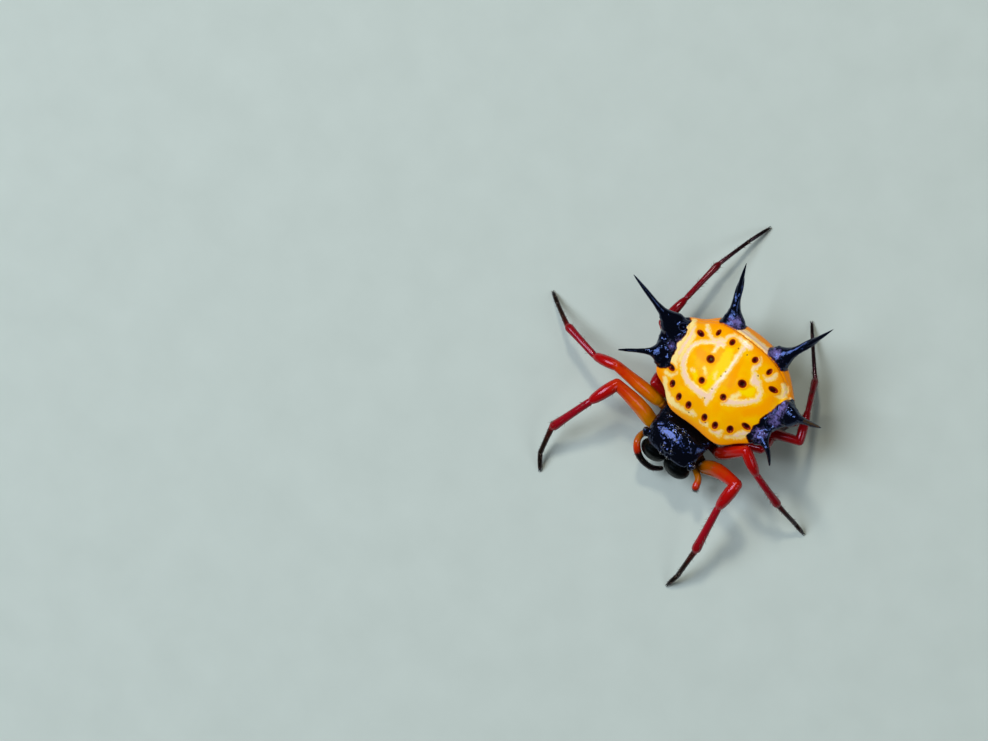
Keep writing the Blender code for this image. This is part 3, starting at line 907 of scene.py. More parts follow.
places = places_of(abdomen_mesh)
normals = normals_of(abdomen_mesh)
black = np.full(len(places), FAR)
for side, border in BLACK_BORDERS.items():
    along_border, from_middle = zip(*sorted(border))
    inner = np.interp(places[:, 1], along_border, from_middle)
    corner = np.maximum.reduce([inner - side * places[:, 0], places[:, 1] - REAR_LIMITS[side],
                                FRONT_LIMIT - places[:, 1]])
    black = np.minimum(black, corner)
for (kind, side), gap in spine_gap.items():
    if kind == "rear":
        gap = np.maximum(gap, REAR_RIM_GAP - np.maximum(past_rim, edge))
    black = np.minimum(black, gap - BLACK_MARGINS[kind])
print("points in black:", int((black < 0).sum()))

# %% [markdown]
# ## Small bumps
# The black corners and the roots of the rear spines are not polished: they carry many low
# grains, each of which catches its own spark of light. Their places are drawn at random, with
# a fixed seed, among the skin's own points there, so they always sit on the surface.

# %% Abdomen: grains on the black corners
GRAIN_RADII = (0.05, 0.1)
# Height of a grain against its radius
GRAIN_STEEPNESS = 0.036 / 0.075
# Middle of each field of grains, its reach, and how many grains it has
GRAIN_FIELDS = (((4.3, -0.3, -1.0), 1.7, 34), ((-4.3, -0.3, -1.0), 1.7, 34),
                ((1.9, 3.1, -1.0), 0.8, 11), ((-1.9, 3.1, -1.0), 0.8, 11))
GRAINS_INSIDE_BLACK = -0.06
GRAINS_ABOVE = -1.8


def raise_grains(rising, places, roots, touched, count, chance):
    """Round grains at points drawn from roots, noted as a rise of the touched points."""
    for _ in range(count):
        middle = places[roots[chance.randrange(len(roots))]]
        radius = chance.uniform(*GRAIN_RADII)
        reach = reach_from(middle, places[touched])
        rising[touched] = np.maximum(rising[touched], radius * np.exp(-(reach / radius) ** 2))


chance = random.Random(7)
rising = np.zeros(len(places))
for middle, wide, count in GRAIN_FIELDS:
    inside = (reach_from(middle, places) < wide) & (black < GRAINS_INSIDE_BLACK)
    near = np.flatnonzero(inside & (places[:, 2] > GRAINS_ABOVE))
    raise_grains(rising, places, near, near, count, chance)
move_to(abdomen_mesh, places + normals * (rising * GRAIN_STEEPNESS)[:, None])
print("grains:", sum(count for _, _, count in GRAIN_FIELDS))

# %% [markdown]
# ## Markings
# The plate is orange. Pinkish cream ribbons run down its middle and curl round each half,
# with fields of clear yellow between them. Each ribbon is written here as a stroke of a few
# points with a half width, as a painter would lay it: along x, along y, half width. No two
# animals are marked alike, and her two sides differ too, so every stroke is her own.

# %% Abdomen: strokes of cream
CREAM_STROKES = (
    ((-2.65, 0.5, 0.1), (-2.65, -0.05, 0.13), (-2.45, -0.6, 0.16), (-2.1, -1.0, 0.17), (-1.6, -1.25, 0.18),
     (-1.05, -1.3, 0.18), (-0.5, -1.3, 0.2), (-0.05, -1.25, 0.2)),
    ((-2.65, 0.55, 0.1), (-2.35, 1.05, 0.08), (-1.9, 1.4, 0.09), (-1.45, 1.7, 0.12), (-1.1, 1.75, 0.1)),
    ((-1.4, 1.6, 0.11), (-1.35, 1.3, 0.08), (-1.35, 0.95, 0.03)),
    ((-2.7, 1.9, 0.06), (-2.3, 1.7, 0.07), (-1.9, 1.6, 0.08), (-1.45, 1.85, 0.1), (-1.2, 2.0, 0.08),
     (-1.25, 2.2, 0.07), (-1.05, 2.45, 0.06), (-0.6, 2.6, 0.07), (-0.15, 2.55, 0.16), (0.2, 2.55, 0.12)),
    ((-0.1, 2.5, 0.13), (-0.05, 2.15, 0.1), (0.0, 1.65, 0.1), (0.05, 1.1, 0.09), (0.05, 0.55, 0.09),
     (0.0, -0.05, 0.1), (-0.05, -0.65, 0.13), (0.0, -1.2, 0.18), (0.05, -1.6, 0.08)),
    ((1.05, 2.35, 0.09), (1.2, 2.1, 0.13), (1.15, 1.85, 0.1), (1.2, 1.6, 0.06), (1.5, 1.4, 0.15),
     (1.65, 1.15, 0.2), (1.85, 1.2, 0.15)),
    ((1.9, 1.15, 0.1), (2.3, 0.85, 0.1), (2.4, 0.45, 0.1), (2.15, 0.1, 0.11), (1.8, -0.25, 0.13),
     (1.4, -0.55, 0.16), (1.0, -0.75, 0.18), (0.9, -0.95, 0.08)),
    ((2.1, 1.7, 0.05), (2.3, 1.9, 0.08), (2.3, 2.15, 0.06)),
    ((3.0, 1.85, 0.04), (3.25, 1.65, 0.09), (3.35, 1.35, 0.08)),
    ((3.8, 1.45, 0.1), (3.85, 1.25, 0.07)),
    ((-3.25, 1.3, 0.12), (-3.1, 0.8, 0.12), (-3.1, 0.3, 0.14), (-3.0, -0.3, 0.12)),
    ((1.25, -2.75, 0.1), (1.6, -2.65, 0.12), (1.7, -2.45, 0.04)),
    ((2.2, -2.4, 0.06), (2.5, -2.15, 0.1), (2.8, -1.75, 0.13), (3.0, -1.5, 0.08)),
    ((0.4, -2.78, 0.08), (0.65, -2.7, 0.09)),
    ((-0.5, -2.7, 0.06), (-0.3, -2.68, 0.1)),
)
print("cream strokes:", len(CREAM_STROKES))

# %% [markdown]
# A paler yellow, like butter, lies beside the cream and along the front rim, and it shows
# wherever the cream is thin.

# %% Abdomen: strokes of butter yellow
BUTTER_STROKES = (
    ((-3.75, 1.1, 0.2), (-3.35, 0.35, 0.24), (-3.25, -0.2, 0.28), (-3.15, -0.8, 0.28), (-2.8, -1.1, 0.12)),
    ((-3.6, 1.5, 0.16), (-3.2, 1.1, 0.16), (-2.95, 0.7, 0.1)),
    ((-3.0, 1.15, 0.12), (-2.95, 0.5, 0.16), (-2.9, -0.2, 0.16), (-2.75, -0.6, 0.1)),
    ((-3.1, -1.8, 0.09), (-2.65, -1.65, 0.08), (-2.5, -1.3, 0.05)),
    ((-2.95, -2.1, 0.12), (-2.6, -2.65, 0.2), (-2.1, -2.88, 0.2), (-1.55, -2.92, 0.17), (-1.05, -2.88, 0.12),
     (-0.5, -2.8, 0.08)),
    ((-0.85, -2.75, 0.06), (-0.4, -2.65, 0.14), (-0.15, -2.65, 0.07)),
    ((0.4, -2.75, 0.12), (0.7, -2.65, 0.12), (0.65, -2.5, 0.03)),
    ((1.15, -2.8, 0.1), (1.6, -2.7, 0.16)),
    ((2.1, -2.55, 0.08), (2.5, -2.2, 0.14), (2.9, -1.75, 0.18)),
    ((-1.8, -0.55, 0.05), (-1.65, -0.5, 0.04)),
    ((-1.15, 0.0, 0.08), (-0.95, -0.2, 0.06), (-0.85, -0.45, 0.03)),
    ((-0.35, -0.1, 0.03), (-0.45, 0.25, 0.03)),
    ((1.35, 0.0, 0.08), (1.2, -0.3, 0.14), (1.15, -0.6, 0.12)),
    ((1.9, 1.75, 0.06), (2.15, 1.75, 0.12), (2.35, 2.0, 0.12)),
    ((3.0, 1.9, 0.06), (3.25, 1.7, 0.13), (3.35, 1.35, 0.12), (3.15, 1.2, 0.05)),
)
print("butter strokes:", len(BUTTER_STROKES))

# %% [markdown]
# Broad, soft fields of gold and of deeper amber lie under both, and cream bars run along the
# rear wall, where a stroke counts along x and down from the rim.

# %% Abdomen: fields of gold and amber, and bars on the wall
GOLD_STROKES = (
    ((-0.6, 1.7, 0.25), (-0.45, 1.15, 0.36), (-0.38, 0.45, 0.34), (-0.4, -0.3, 0.3), (-0.45, -0.85, 0.2)),
    ((-1.5, -0.6, 0.16), (-1.1, -0.85, 0.18), (-0.6, -0.8, 0.2)),
    ((1.45, 0.3, 0.22), (1.8, 0.5, 0.26), (1.85, 0.8, 0.13)),
)
AMBER_STROKES = (
    ((-2.1, 0.55, 0.3), (-1.6, 0.5, 0.36), (-1.2, 0.7, 0.3)),
    ((0.35, 1.3, 0.2), (0.5, 0.6, 0.26), (0.65, 0.1, 0.15)),
    ((2.3, -0.6, 0.3), (3.0, 0.2, 0.3), (3.0, 0.9, 0.25)),
)
WALL_STROKES = (
    ((-1.6, 0.28, 0.16), (-0.9, 0.32, 0.22), (-0.1, 0.33, 0.24), (0.1, 0.33, 0.2)),
    ((0.35, 0.33, 0.2), (0.9, 0.33, 0.24), (1.7, 0.3, 0.2)),
)
print("fields:", len(GOLD_STROKES) + len(AMBER_STROKES), "bars:", len(WALL_STROKES))

# %% [markdown]
# ## From strokes to distances
# For every point of the skin the distance to the edge of the nearest stroke of each colour is
# kept, and the material turns that distance into a border that may be as soft or as ragged as
# it needs to be. A painted picture would have a fixed number of pixels, and a distance doesn't.


# %% Abdomen: distance to each colour
def beyond_stroke(flat_places, stroke):
    """Distance to the edge of a stroke of (x, y, half width) points, negative inside it."""
    best = np.full(len(flat_places), FAR)
    for (ax, ay, aw), (bx, by, bw) in zip(stroke, stroke[1:]):
        start = np.array((ax, ay))
        run = np.array((bx - ax, by - ay))
        t = np.clip(((flat_places - start) @ run) / (run @ run), 0.0, 1.0)
        reach = np.linalg.norm(flat_places - start - t[:, None] * run, axis=1) - (aw + (bw - aw) * t)
        best = np.minimum(best, reach)
    return best


def nearest_stroke(flat_places, strokes):
    """Distance to the edge of the nearest of some strokes."""
    return np.minimum.reduce([beyond_stroke(flat_places, stroke) for stroke in strokes])


# A stroke is laid this much wider than it is written
CREAM_SPREAD = 0.01
BUTTER_SPREAD = 0.03
# The rear wall starts here, along her and down from the rim
WALL_BEHIND = 1.5
WALL_BELOW = 0.06

places = places_of(abdomen_mesh)
skin_places, skin_normals = places, normals_of(abdomen_mesh)
flat = places[:, :2]
cream = nearest_stroke(flat, CREAM_STROKES) - CREAM_SPREAD + below_plate
wall_places = np.stack([places[:, 0], edge], axis=1)
on_rear_wall = (places[:, 1] > WALL_BEHIND) & (edge > WALL_BELOW)
cream = np.where(on_rear_wall, nearest_stroke(wall_places, WALL_STROKES), cream)
butter = nearest_stroke(flat, BUTTER_STROKES) - BUTTER_SPREAD + below_plate
gold = nearest_stroke(flat, GOLD_STROKES) + below_plate
amber = nearest_stroke(flat, AMBER_STROKES) + below_plate
groove = np.abs(edge - GROOVE_PLACE) + FAR * (1 - behind)
print("points in cream:", int((cream < 0).sum()), "in butter:", int((butter < 0).sum()))

# %% [markdown]
# ## Belly
# Below the wall the skin is soft and black, with rows of yellow spots. The spots are ovals set
# on the cone by their direction and height, and each has its mirror on the other side.

# %% Abdomen: belly spots
# Below this height the skin is the soft black of the belly
FLANK_HEIGHT = -1.95
# Spots are laid on everything below this, so that the uppermost reach over the border
SPOTS_BELOW = FLANK_HEIGHT + 0.2
# Spots on one side: direction in degrees from her left, height, and radius
SPOTS = ((-58, -2.25, 0.3), (-25, -2.2, 0.34), (8, -2.2, 0.32), (40, -2.25, 0.34), (70, -2.3, 0.3),
         (-42, -2.7, 0.22), (-5, -2.75, 0.24), (30, -2.75, 0.24), (60, -2.8, 0.24),
         (15, -3.3, 0.17), (52, -3.35, 0.17), (88, -2.75, 0.2), (86, -3.45, 0.15))

spot = np.full(len(places), FAR)
under = places[:, 2] < SPOTS_BELOW
under_sizes, under_depths, under_shifts = zip(*(tuple(point) for point in reversed(under_curve)))
for direction, depth, radius in SPOTS:
    for side in (1, -1):
        angle = math.radians(direction if side > 0 else 180 - direction)
        out = float(reach_at(angle)) * np.interp(depth, under_depths, under_sizes)
        shift = np.interp(depth, under_depths, under_shifts)
        middle = (out * math.cos(angle), out * math.sin(angle) + shift, depth)
        spot[under] = np.minimum(spot[under], reach_from(middle, places[under]) - radius)
print("belly spots:", 2 * len(SPOTS))

# %% [markdown]
# ## Painted reflection on the black
# On the slopes that rise to the spines, the black gets a greyish lilac colour. It is a painted
# reflection of the bright sky in the creased cuticle, laid in soft round patches just
# inside the border of the black.

# %% Abdomen: patches of painted lilac reflection
# Middle and reach of each patch
PAINTED_REFLECTION_PATCHES = (((3.6, 0.75, -0.9), 0.55), ((3.75, -0.05, -0.95), 0.4), ((3.55, -1.25, -1.15), 0.5),
                 ((1.5, 3.05, -0.95), 0.42), ((-1.45, 3.05, -0.95), 0.42), ((-3.55, 0.35, -0.9), 0.2),
                 ((-3.75, -0.35, -0.9), 0.25))
INSIDE_BORDER = 0.05

painted_reflection = np.full(len(places), FAR)
for middle, reach in PAINTED_REFLECTION_PATCHES:
    painted_reflection = np.minimum(painted_reflection, reach_from(middle, places) - reach)
painted_reflection = np.maximum(painted_reflection, black + INSIDE_BORDER)
print("points in lilac:", int((painted_reflection < 0).sum()))

# %% [markdown]
# ## Numbers for the material
# Every distance is now kept on the skin as an attribute, one number for each point. A material
# reads it by name, the colour follows the skin wherever it goes, and no image is needed.


# %% Abdomen: numbers kept on the skin
def note(mesh, name, values):
    """Keeps a number for each vertex, which a material reads by name."""
    mesh.attributes.new(name, "FLOAT", "POINT").data.foreach_set("value", values)


marks = {"painted_reflection": painted_reflection, "pit": pit, "dot": dot, "cream": cream, "butter": butter, "gold": gold,
         "amber": amber, "groove": groove, "edge": edge, "black": black, "spot": spot,
         "flank": places[:, 2] - FLANK_HEIGHT}
for name, values in marks.items():
    note(abdomen_mesh, name, values)
print("numbers kept on the skin:", sorted(marks))

# %% [markdown]
# ## Sclerotised cuticle: its colour
# Her plate is sclerotised cuticle: chitin and protein laid down in thin sheets after her last
# moult and then hardened, like a fingernail. Its colour lies in a layer of pigment below the
# clear outer sheets, so the eye gets saturated, even orange without any chalkiness. The
# material lays one colour over the next, from the orange ground up to the black corners. Each
# border is roughened by noise, because pigment spreads from cell to cell.

# %% Material: sclerotised cuticle, colour
# Each layer: the distance it reads, how ragged its border is, where it starts and is full, its colour
SHELL_LAYERS = (
    ("edge", 0.0, -0.7, 0.1, "#ff9400"),
    ("amber", 0.4, 0.14, -0.2, "#ffa200"),
    ("gold", 0.4, 0.12, -0.12, "#ffd400"),
    ("butter", 0.45, 0.1, -0.12, "#ffe28a"),
    ("cream", 0.4, 0.12, -0.02, "#ffdc72"),
    ("cream", 0.5, 0.03, -0.12, "#ffd5ae"),
    ("pit", 0.0, 0.2, 0.04, "#ffa800"),
    ("groove", 0.0, 0.045, 0.0, "#8a3a00"),
    ("flank", 0.5, -0.02, -0.16, "#0b0708"),
    ("spot", 0.25, 0.05, -0.04, "#e69a10"),
    ("pit", 0.0, 0.03, -0.02, "#8a1c08"),
    ("pit", 0.0, -0.03, -0.12, "#2c0306"),
    ("dot", 0.0, 0.02, -0.03, "#6a3210"),
    ("black", 0.15, 0.05, -0.01, "#7a2c00"),
    ("black", 0.15, 0.0, -0.05, "#04050a"),
    # Painted reflection: a lilac that stands in for the sky mirrored on the black slopes
    ("painted_reflection", 1.4, 0.12, -0.4, "#7468a0"),
)
# Cells of each pattern to the millimetre: slow drift of the orange, and raggedness of borders
DRIFT_CELLS = 0.9
BORDER_CELLS = 5.0

sclerotised_cuticle, tree, shader, place = new_material("sclerotised_cuticle")
slow = add(tree, "TexNoise", {"Vector": place, "Scale": DRIFT_CELLS, "Detail": 2.0})
wobble = add(tree, "TexNoise", {"Vector": place, "Scale": BORDER_CELLS, "Detail": 5.0, "Roughness": 0.65})
wobble = add(tree, "Math", {0: wobble, 1: 0.5}, operation="SUBTRACT")
ground = add(tree, "MapRange", {"Value": slow, "From Min": 0.35, "From Max": 0.68}, **SOFT)
shell_colour = add(tree, "Mix", {0: ground, 6: shade("#ffab00"), 7: shade("#ffbf00")}, **BLEND)
for name, ragged, start, end, tint in SHELL_LAYERS:
    reach = add(tree, "Attribute", {}, output="Fac", attribute_name=name)
    reach = add(tree, "Math", {0: wobble, 1: ragged, 2: reach}, operation="MULTIPLY_ADD")
    share = add(tree, "MapRange", {"Value": reach, "From Min": start, "From Max": end}, **SOFT)
    shell_colour = add(tree, "Mix", {0: share, 6: shell_colour, 7: shade(tint)}, **BLEND)
print("layers of colour:", len(SHELL_LAYERS), "nodes so far:", len(tree.nodes))

# %% [markdown]
# ## Sclerotised cuticle: its surface
# The outside is a thin film of wax over fine dimples and scales. The orange parts have a soft
# satin gloss with a warm tint, the cream is creased and a little shinier, and the black corners
# are creased and mirror the sky in blue. Real scales are 0.01 to 0.02 mm wide, which is too
# fine to show here, so they are drawn at about 0.05 mm and the dimples at 0.1 mm.

# %% Material: sclerotised cuticle, scales and creases
# Cells of each pattern to the millimetre
SCALE_CELLS = 22.0
DIMPLE_CELLS = 9.0
CREASE_CELLS = 4.0
# Height of the bump in mm, how much higher the creases stand than the scales, and how strong
# the creases are on the cream against those on the black
SHELL_BUMP = 0.006
CREASE_HEIGHT = 8.0
CREAM_CREASES = 0.9

shares = {}
for name, start, end in (("black", 0.02, -0.05), ("cream", 0.04, -0.06), ("pit", 0.03, -0.03)):
    reach = add(tree, "Attribute", {}, output="Fac", attribute_name=name)
    shares[name] = add(tree, "MapRange", {"Value": reach, "From Min": start, "From Max": end}, **SOFT)
scales = add(tree, "TexNoise", {"Vector": place, "Scale": SCALE_CELLS, "Detail": 2.0})
dimples = add(tree, "TexVoronoi", {"Vector": place, "Scale": DIMPLE_CELLS})
fine = add(tree, "Math", {0: dimples, 1: 0.6, 2: scales}, operation="MULTIPLY_ADD")
creases = add(tree, "TexNoise", {"Vector": place, "Scale": CREASE_CELLS, "Detail": 3.0, "Roughness": 0.55})
creased = add(tree, "Math", {0: shares["cream"], 1: CREAM_CREASES, 2: shares["black"]},
              operation="MULTIPLY_ADD")
coarse = add(tree, "Math", {0: creases, 1: creased}, operation="MULTIPLY")
height = add(tree, "Math", {0: coarse, 1: CREASE_HEIGHT, 2: fine}, operation="MULTIPLY_ADD")
bump = add(tree, "Bump", {"Height": height, "Distance": SHELL_BUMP * MM, "Strength": 0.5})
print("bump on the shell, mm:", SHELL_BUMP)

# %% Material: sclerotised cuticle, gloss
# Roughness of the orange from place to place, how much smoother the cream is, and of the black
ORANGE_ROUGHNESS = (0.24, 0.34)
CREAM_SMOOTHER = -0.12
BLACK_ROUGHNESS = 0.1

dark_share = add(tree, "Math", {0: shares["black"], 1: shares["pit"]}, operation="MAXIMUM")
polish = add(tree, "MapRange", {"Value": slow, "To Min": ORANGE_ROUGHNESS[0], "To Max": ORANGE_ROUGHNESS[1]})
polish = add(tree, "Math", {0: shares["cream"], 1: CREAM_SMOOTHER, 2: polish}, operation="MULTIPLY_ADD")
polish = add(tree, "MapRange", {"Value": dark_share, "To Min": polish, "To Max": BLACK_ROUGHNESS})
sheen = add(tree, "Mix", {0: shares["cream"], 6: shade("#6c5418"), 7: shade("#d8ccc4")}, **BLEND)
sheen = add(tree, "Mix", {0: shares["black"], 6: sheen, 7: shade("#86a8ff")}, **BLEND)
connect(tree, shader, {"Base Color": shell_colour, "Roughness": polish, "Normal": bump, "IOR": 1.6,
                       "Specular Tint": sheen, "Coat Weight": 0.03, "Coat Roughness": 0.04})
print("nodes in the shell's material:", len(tree.nodes))

# %% [markdown]
# ## Handing a piece over
# A finished piece's object sits at the origin, so its place is written into its mesh: from
# its own level frame to the animal's, and from millimetres to metres. The piece takes its
# finish and rides on the root body, and the solid that it stands for is hidden.


# %% Helper: a finished piece, and the abdomen
def finish_piece(name, mesh, own_frame, material, nodes=()):
    """Brings a mesh in millimetres to its place in metres and hands it to the frame."""
    mesh.name = name
    mesh.transform(Matrix.Scale(MM, 4) @ own_frame)
    mesh.materials.clear()
    mesh.materials.append(material)
    mesh.shade_smooth()
    piece = bpy.data.objects.new(name, mesh)
    bpy.context.scene.collection.objects.link(piece)
    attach(piece, "root")
    if nodes:
        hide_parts(*nodes)
    triangles = sum(len(face.vertices) - 2 for face in mesh.polygons)
    print(f"{name}: {triangles} triangles")


finish_piece("abdomen_skin", abdomen_mesh, plate_frame, sclerotised_cuticle, ["abdomen"])

# %% [markdown]
# ## Black cuticle
# Her head, chelicerae, pedicel and spinnerets are tanned cuticle: the same chitin, darkened
# right through by the tanning that hardens it, as leather is. Next to no colour comes back
# from below the surface, so all that the eye gets is the reflection, which looks blue under an
# open sky. Fine grains and faint creases from the moult break the reflection up, so that it
# doesn't look like lacquer. Real grains are about 0.02 mm wide and are drawn at 0.07 mm.

# %% Material: tanned black cuticle
# Cells to the millimetre, and how high the two coarser patterns stand against the grains
GRAIN_CELLS = 14.0
PLATELET_CELLS, PLATELET_HEIGHT = 7.0, 2.2
FOLD_CELLS, FOLD_HEIGHT = 3.2, 7.0
POLISH_CELLS = 1.3
BLACK_BUMP = 0.009


def tanned_material(name, dark, light, roughness, sheen, coat):
    """Black cuticle: two near blacks, its lowest and highest roughness, and its reflection's tint."""
    material, tree, shader, place = new_material(name)
    grain = add(tree, "TexNoise", {"Vector": place, "Scale": GRAIN_CELLS, "Detail": 3.0, "Roughness": 0.6})
    platelets = add(tree, "TexVoronoi", {"Vector": place, "Scale": PLATELET_CELLS})
    folds = add(tree, "TexNoise", {"Vector": place, "Scale": FOLD_CELLS, "Detail": 2.0})
    fine = add(tree, "Math", {0: platelets, 1: PLATELET_HEIGHT, 2: grain}, operation="MULTIPLY_ADD")
    height = add(tree, "Math", {0: folds, 1: FOLD_HEIGHT, 2: fine}, operation="MULTIPLY_ADD")
    bump = add(tree, "Bump", {"Height": height, "Distance": BLACK_BUMP * MM, "Strength": 0.6})
    patches = add(tree, "TexNoise", {"Vector": place, "Scale": POLISH_CELLS, "Detail": 3.0})
    polish = add(tree, "MapRange", {"Value": patches, "To Min": roughness[0], "To Max": roughness[1]})
    colour = add(tree, "Mix", {0: patches, 6: shade(dark), 7: shade(light)}, **BLEND)
    connect(tree, shader, {"Base Color": colour, "Roughness": polish, "Normal": bump, "IOR": 1.62,
                           "Specular Tint": shade(sheen), "Coat Weight": coat, "Coat Roughness": 0.05})
    return material


# The jaws are duller than the head: a close down, too fine to see, takes their gloss
black_cuticle = tanned_material("tanned_cuticle", "#010203", "#040508", (0.08, 0.17), "#7c9cff", 0.25)
jaw_cuticle = tanned_material("tanned_jaw_cuticle", "#010202", "#040605", (0.34, 0.44), "#242c32", 0.0)
print("black cuticles:", black_cuticle.name, jaw_cuticle.name)

# %% [markdown]
# ## Carapace and sternum
# The front half of her body is a raised, squarish head that slopes down to a low, wide part
# under the abdomen, with a heart-shaped plate below between the legs. Both are lofted: one
# ring is extruded from section to section along her length, and each copy is set to that
# section's width and height.

# %% Helper: a lofted body
# A power of 2 makes a round ring, and a higher one makes it squarish
SQUARENESS = 2.1
SECTION_SIDES = 64
SECTION_STEPS = 6


def squared(value):
    """A cosine or a sine, pushed outwards so that a circle becomes squarish."""
    return math.copysign(abs(value) ** (2 / SQUARENESS), value)


def lofted(bm, sections, around):
    """Extrudes a squarish ring along Y through sections and closes both ends to a point."""
    ring = bmesh.ops.create_circle(bm, segments=SECTION_SIDES, radius=1.0)["verts"]
    for vert in ring:
        vert[around] = math.atan2(vert.co.y, vert.co.x)
    edges = edges_of(ring)
    rings = []
    for y, half_width, low, high in curve_through(sections, SECTION_STEPS):
        if rings:
            ring, edges = next_ring(bm, edges)
        for vert in ring:
            x = squared(math.cos(vert[around])) * half_width
            z = squared(math.sin(vert[around])) * (high - low) / 2
            vert.co = (x, y, (low + high) / 2 + z)
        rings.append(ring)
    for end_ring in (rings[0], rings[-1]):
        open_edges = [edge for edge in edges_of(end_ring) if edge.is_boundary]
        close_end(bm, next_ring(bm, open_edges)[0])


print("a loft has", SECTION_SIDES, "points to a ring and", SECTION_STEPS, "rings to a section")

# %% Carapace: sections along her length
# y, half width, lowest and highest point
SHIELD_SECTIONS = ((-2.52, 1.1, 0.3, 0.8), (-2.38, 1.38, 0.12, 0.97), (-2.05, 1.6, 0.05, 1.16),
                   (-1.5, 1.78, 0.0, 1.36), (-0.95, 1.82, 0.02, 1.34), (-0.3, 1.82, 0.06, 0.98),
                   (0.5, 1.68, 0.1, 0.62), (1.25, 1.22, 0.12, 0.42), (1.7, 0.7, 0.14, 0.32))
STERNUM_SECTIONS = ((-1.6, 0.5, -0.66, 0.5), (-1.0, 0.8, -0.96, 0.5), (0.0, 0.84, -1.02, 0.4),
                    (1.0, 0.72, -0.97, 0.34), (1.6, 0.4, -0.78, 0.26))

bm = bmesh.new()
around_layer = bm.verts.layers.float.new("around")
for sections in (SHIELD_SECTIONS, STERNUM_SECTIONS):
    lofted(bm, sections, around_layer)
print("carapace and sternum, first shape:", len(bm.verts), "points")

# %% [markdown]
# The eyes at the sides stand on knobs that stick out from the head, and the four in the middle
# share a low mound. Spheres are pushed into the head there, and one skin is drawn round it
# all, as with the abdomen.

# %% Carapace: knobs, mound and common skin
# Middle and radius of the knob on one side, and middle and half sizes of the mound
KNOB_PLACE, KNOB_RADIUS = (1.68, -2.04, 0.72), 0.25
MOUND_PLACE, MOUND_SIZES = (0.0, -2.1, 0.76), (0.5, 0.32, 0.4)
CARAPACE_VOXEL = 0.034
CARAPACE_ROUNDS = 10

for side in (1, -1):
    add_ball(bm, (side * KNOB_PLACE[0], *KNOB_PLACE[1:]), (KNOB_RADIUS,) * 3)
add_ball(bm, MOUND_PLACE, MOUND_SIZES)
carapace_mesh = skinned(bm, CARAPACE_VOXEL)
relax(carapace_mesh, CARAPACE_ROUNDS)
print("carapace:", len(carapace_mesh.vertices), "points")

# %% [markdown]
# ## Grooves of the head
# The head is set off from the thorax by a shallow groove, bent forwards on both sides, and
# the thorax has a small pit in its middle, where the muscles of the stomach are fixed, with
# faint furrows running out from it to the legs.

# %% Carapace: groove, pit and furrows
NECK_DEPTH, NECK_WIDTH = 0.02, 0.16
# The neck groove crosses her middle line here and bends forwards by this much at a distance of
# NECK_REACH to the side, and no further past NECK_LIMIT times that distance
NECK_PLACE, NECK_BEND = -0.75, 0.55
NECK_REACH, NECK_LIMIT = 1.3, 1.4
# The furrows lie where the surface faces up, between these rises of its normal
UPPER_FROM, UPPER_FULL, UPPER_ABOVE = 0.1, 0.5, 0.1
MIDDLE_PIT_DEPTH, MIDDLE_PIT_PLACE = 0.08, 0.25
MIDDLE_PIT_ACROSS, MIDDLE_PIT_ALONG = 0.1, 0.2
FURROW_DEPTH, FURROW_WIDTH, FURROW_COUNT = 0.015, 0.1, 4
# Direction of the first furrow and the turn from each to the next, in degrees
FURROW_START, FURROW_TURN = -35, 38
FURROWS_MEET = 0.2
# Distances from there between which a furrow begins, and between which it runs out
FURROW_BEGINS, FURROW_ENDS = (0.25, 0.5), (1.3, 1.7)

places = places_of(carapace_mesh)
normals = normals_of(carapace_mesh)
x, y, z = places.T
upper = ramped(normals[:, 2], UPPER_FROM, UPPER_FULL) * (z > UPPER_ABOVE)
neck_line = y - (NECK_PLACE - NECK_BEND * np.minimum(np.abs(x) / NECK_REACH, NECK_LIMIT) ** 2)
relief = -NECK_DEPTH * upper * ridge(neck_line, 0.0, NECK_WIDTH)
pit_reach = np.hypot(x / MIDDLE_PIT_ACROSS, (y - MIDDLE_PIT_PLACE) / MIDDLE_PIT_ALONG)
relief -= MIDDLE_PIT_DEPTH * upper * ridge(pit_reach, 0.0, 1.0)
for k in range(FURROW_COUNT):
    heading = math.radians(FURROW_START + FURROW_TURN * k)
    along = np.abs(x) * math.cos(heading) + (y - FURROWS_MEET) * math.sin(heading)
    across = -np.abs(x) * math.sin(heading) + (y - FURROWS_MEET) * math.cos(heading)
    run = ramped(along, *FURROW_BEGINS) * (1 - ramped(along, *FURROW_ENDS))
    relief -= FURROW_DEPTH * upper * ridge(across, 0.0, FURROW_WIDTH) * run
print("furrows:", 2 * FURROW_COUNT, "deepest relief, mm:", round(float(relief.min()), 2))

# %% [markdown]
# The top of the head is grained like the black corners, and each of the eight eyes sits in a
# low ring. Two rows of four eyes look forwards and up: four close together in the middle, and
# a pair on each knob.

# %% Carapace: grains and eye rings
# Place on her left and radius of each pair of eyes
EYES = {
    "front_median": ((0.24, -2.5, 0.78), 0.12),
    "rear_median": ((0.28, -2.05, 1.07), 0.13),
    "front_lateral": ((1.66, -2.26, 0.66), 0.11),
    "rear_lateral": ((1.84, -1.96, 0.84), 0.11),
}
# Grains of the head: how far up the surface faces there, their number, and their height
# against their radius
GRAINS_FACE_UP, HEAD_GRAINS, HEAD_GRAIN_STEEPNESS = 0.5, 70, 0.3
# A ring round an eye: its height, its width, and its radius against the eye's
RING_HEIGHT, RING_WIDTH, RING_REACH = 0.05, 0.05, 1.25

rising = np.zeros(len(places))
roots = np.flatnonzero(upper > GRAINS_FACE_UP)
raise_grains(rising, places, roots, slice(None), HEAD_GRAINS, random.Random(11))
relief += rising * HEAD_GRAIN_STEEPNESS
for (eye_x, eye_y, eye_z), radius in EYES.values():
    for side in (1, -1):
        reach = reach_from((side * eye_x, eye_y, eye_z), places)
        relief += RING_HEIGHT * ridge(reach, radius * RING_REACH, RING_WIDTH)
move_to(carapace_mesh, places + normals * relief[:, None])
finish_piece("carapace_skin", carapace_mesh, head_frame, black_cuticle, ["carapace"])

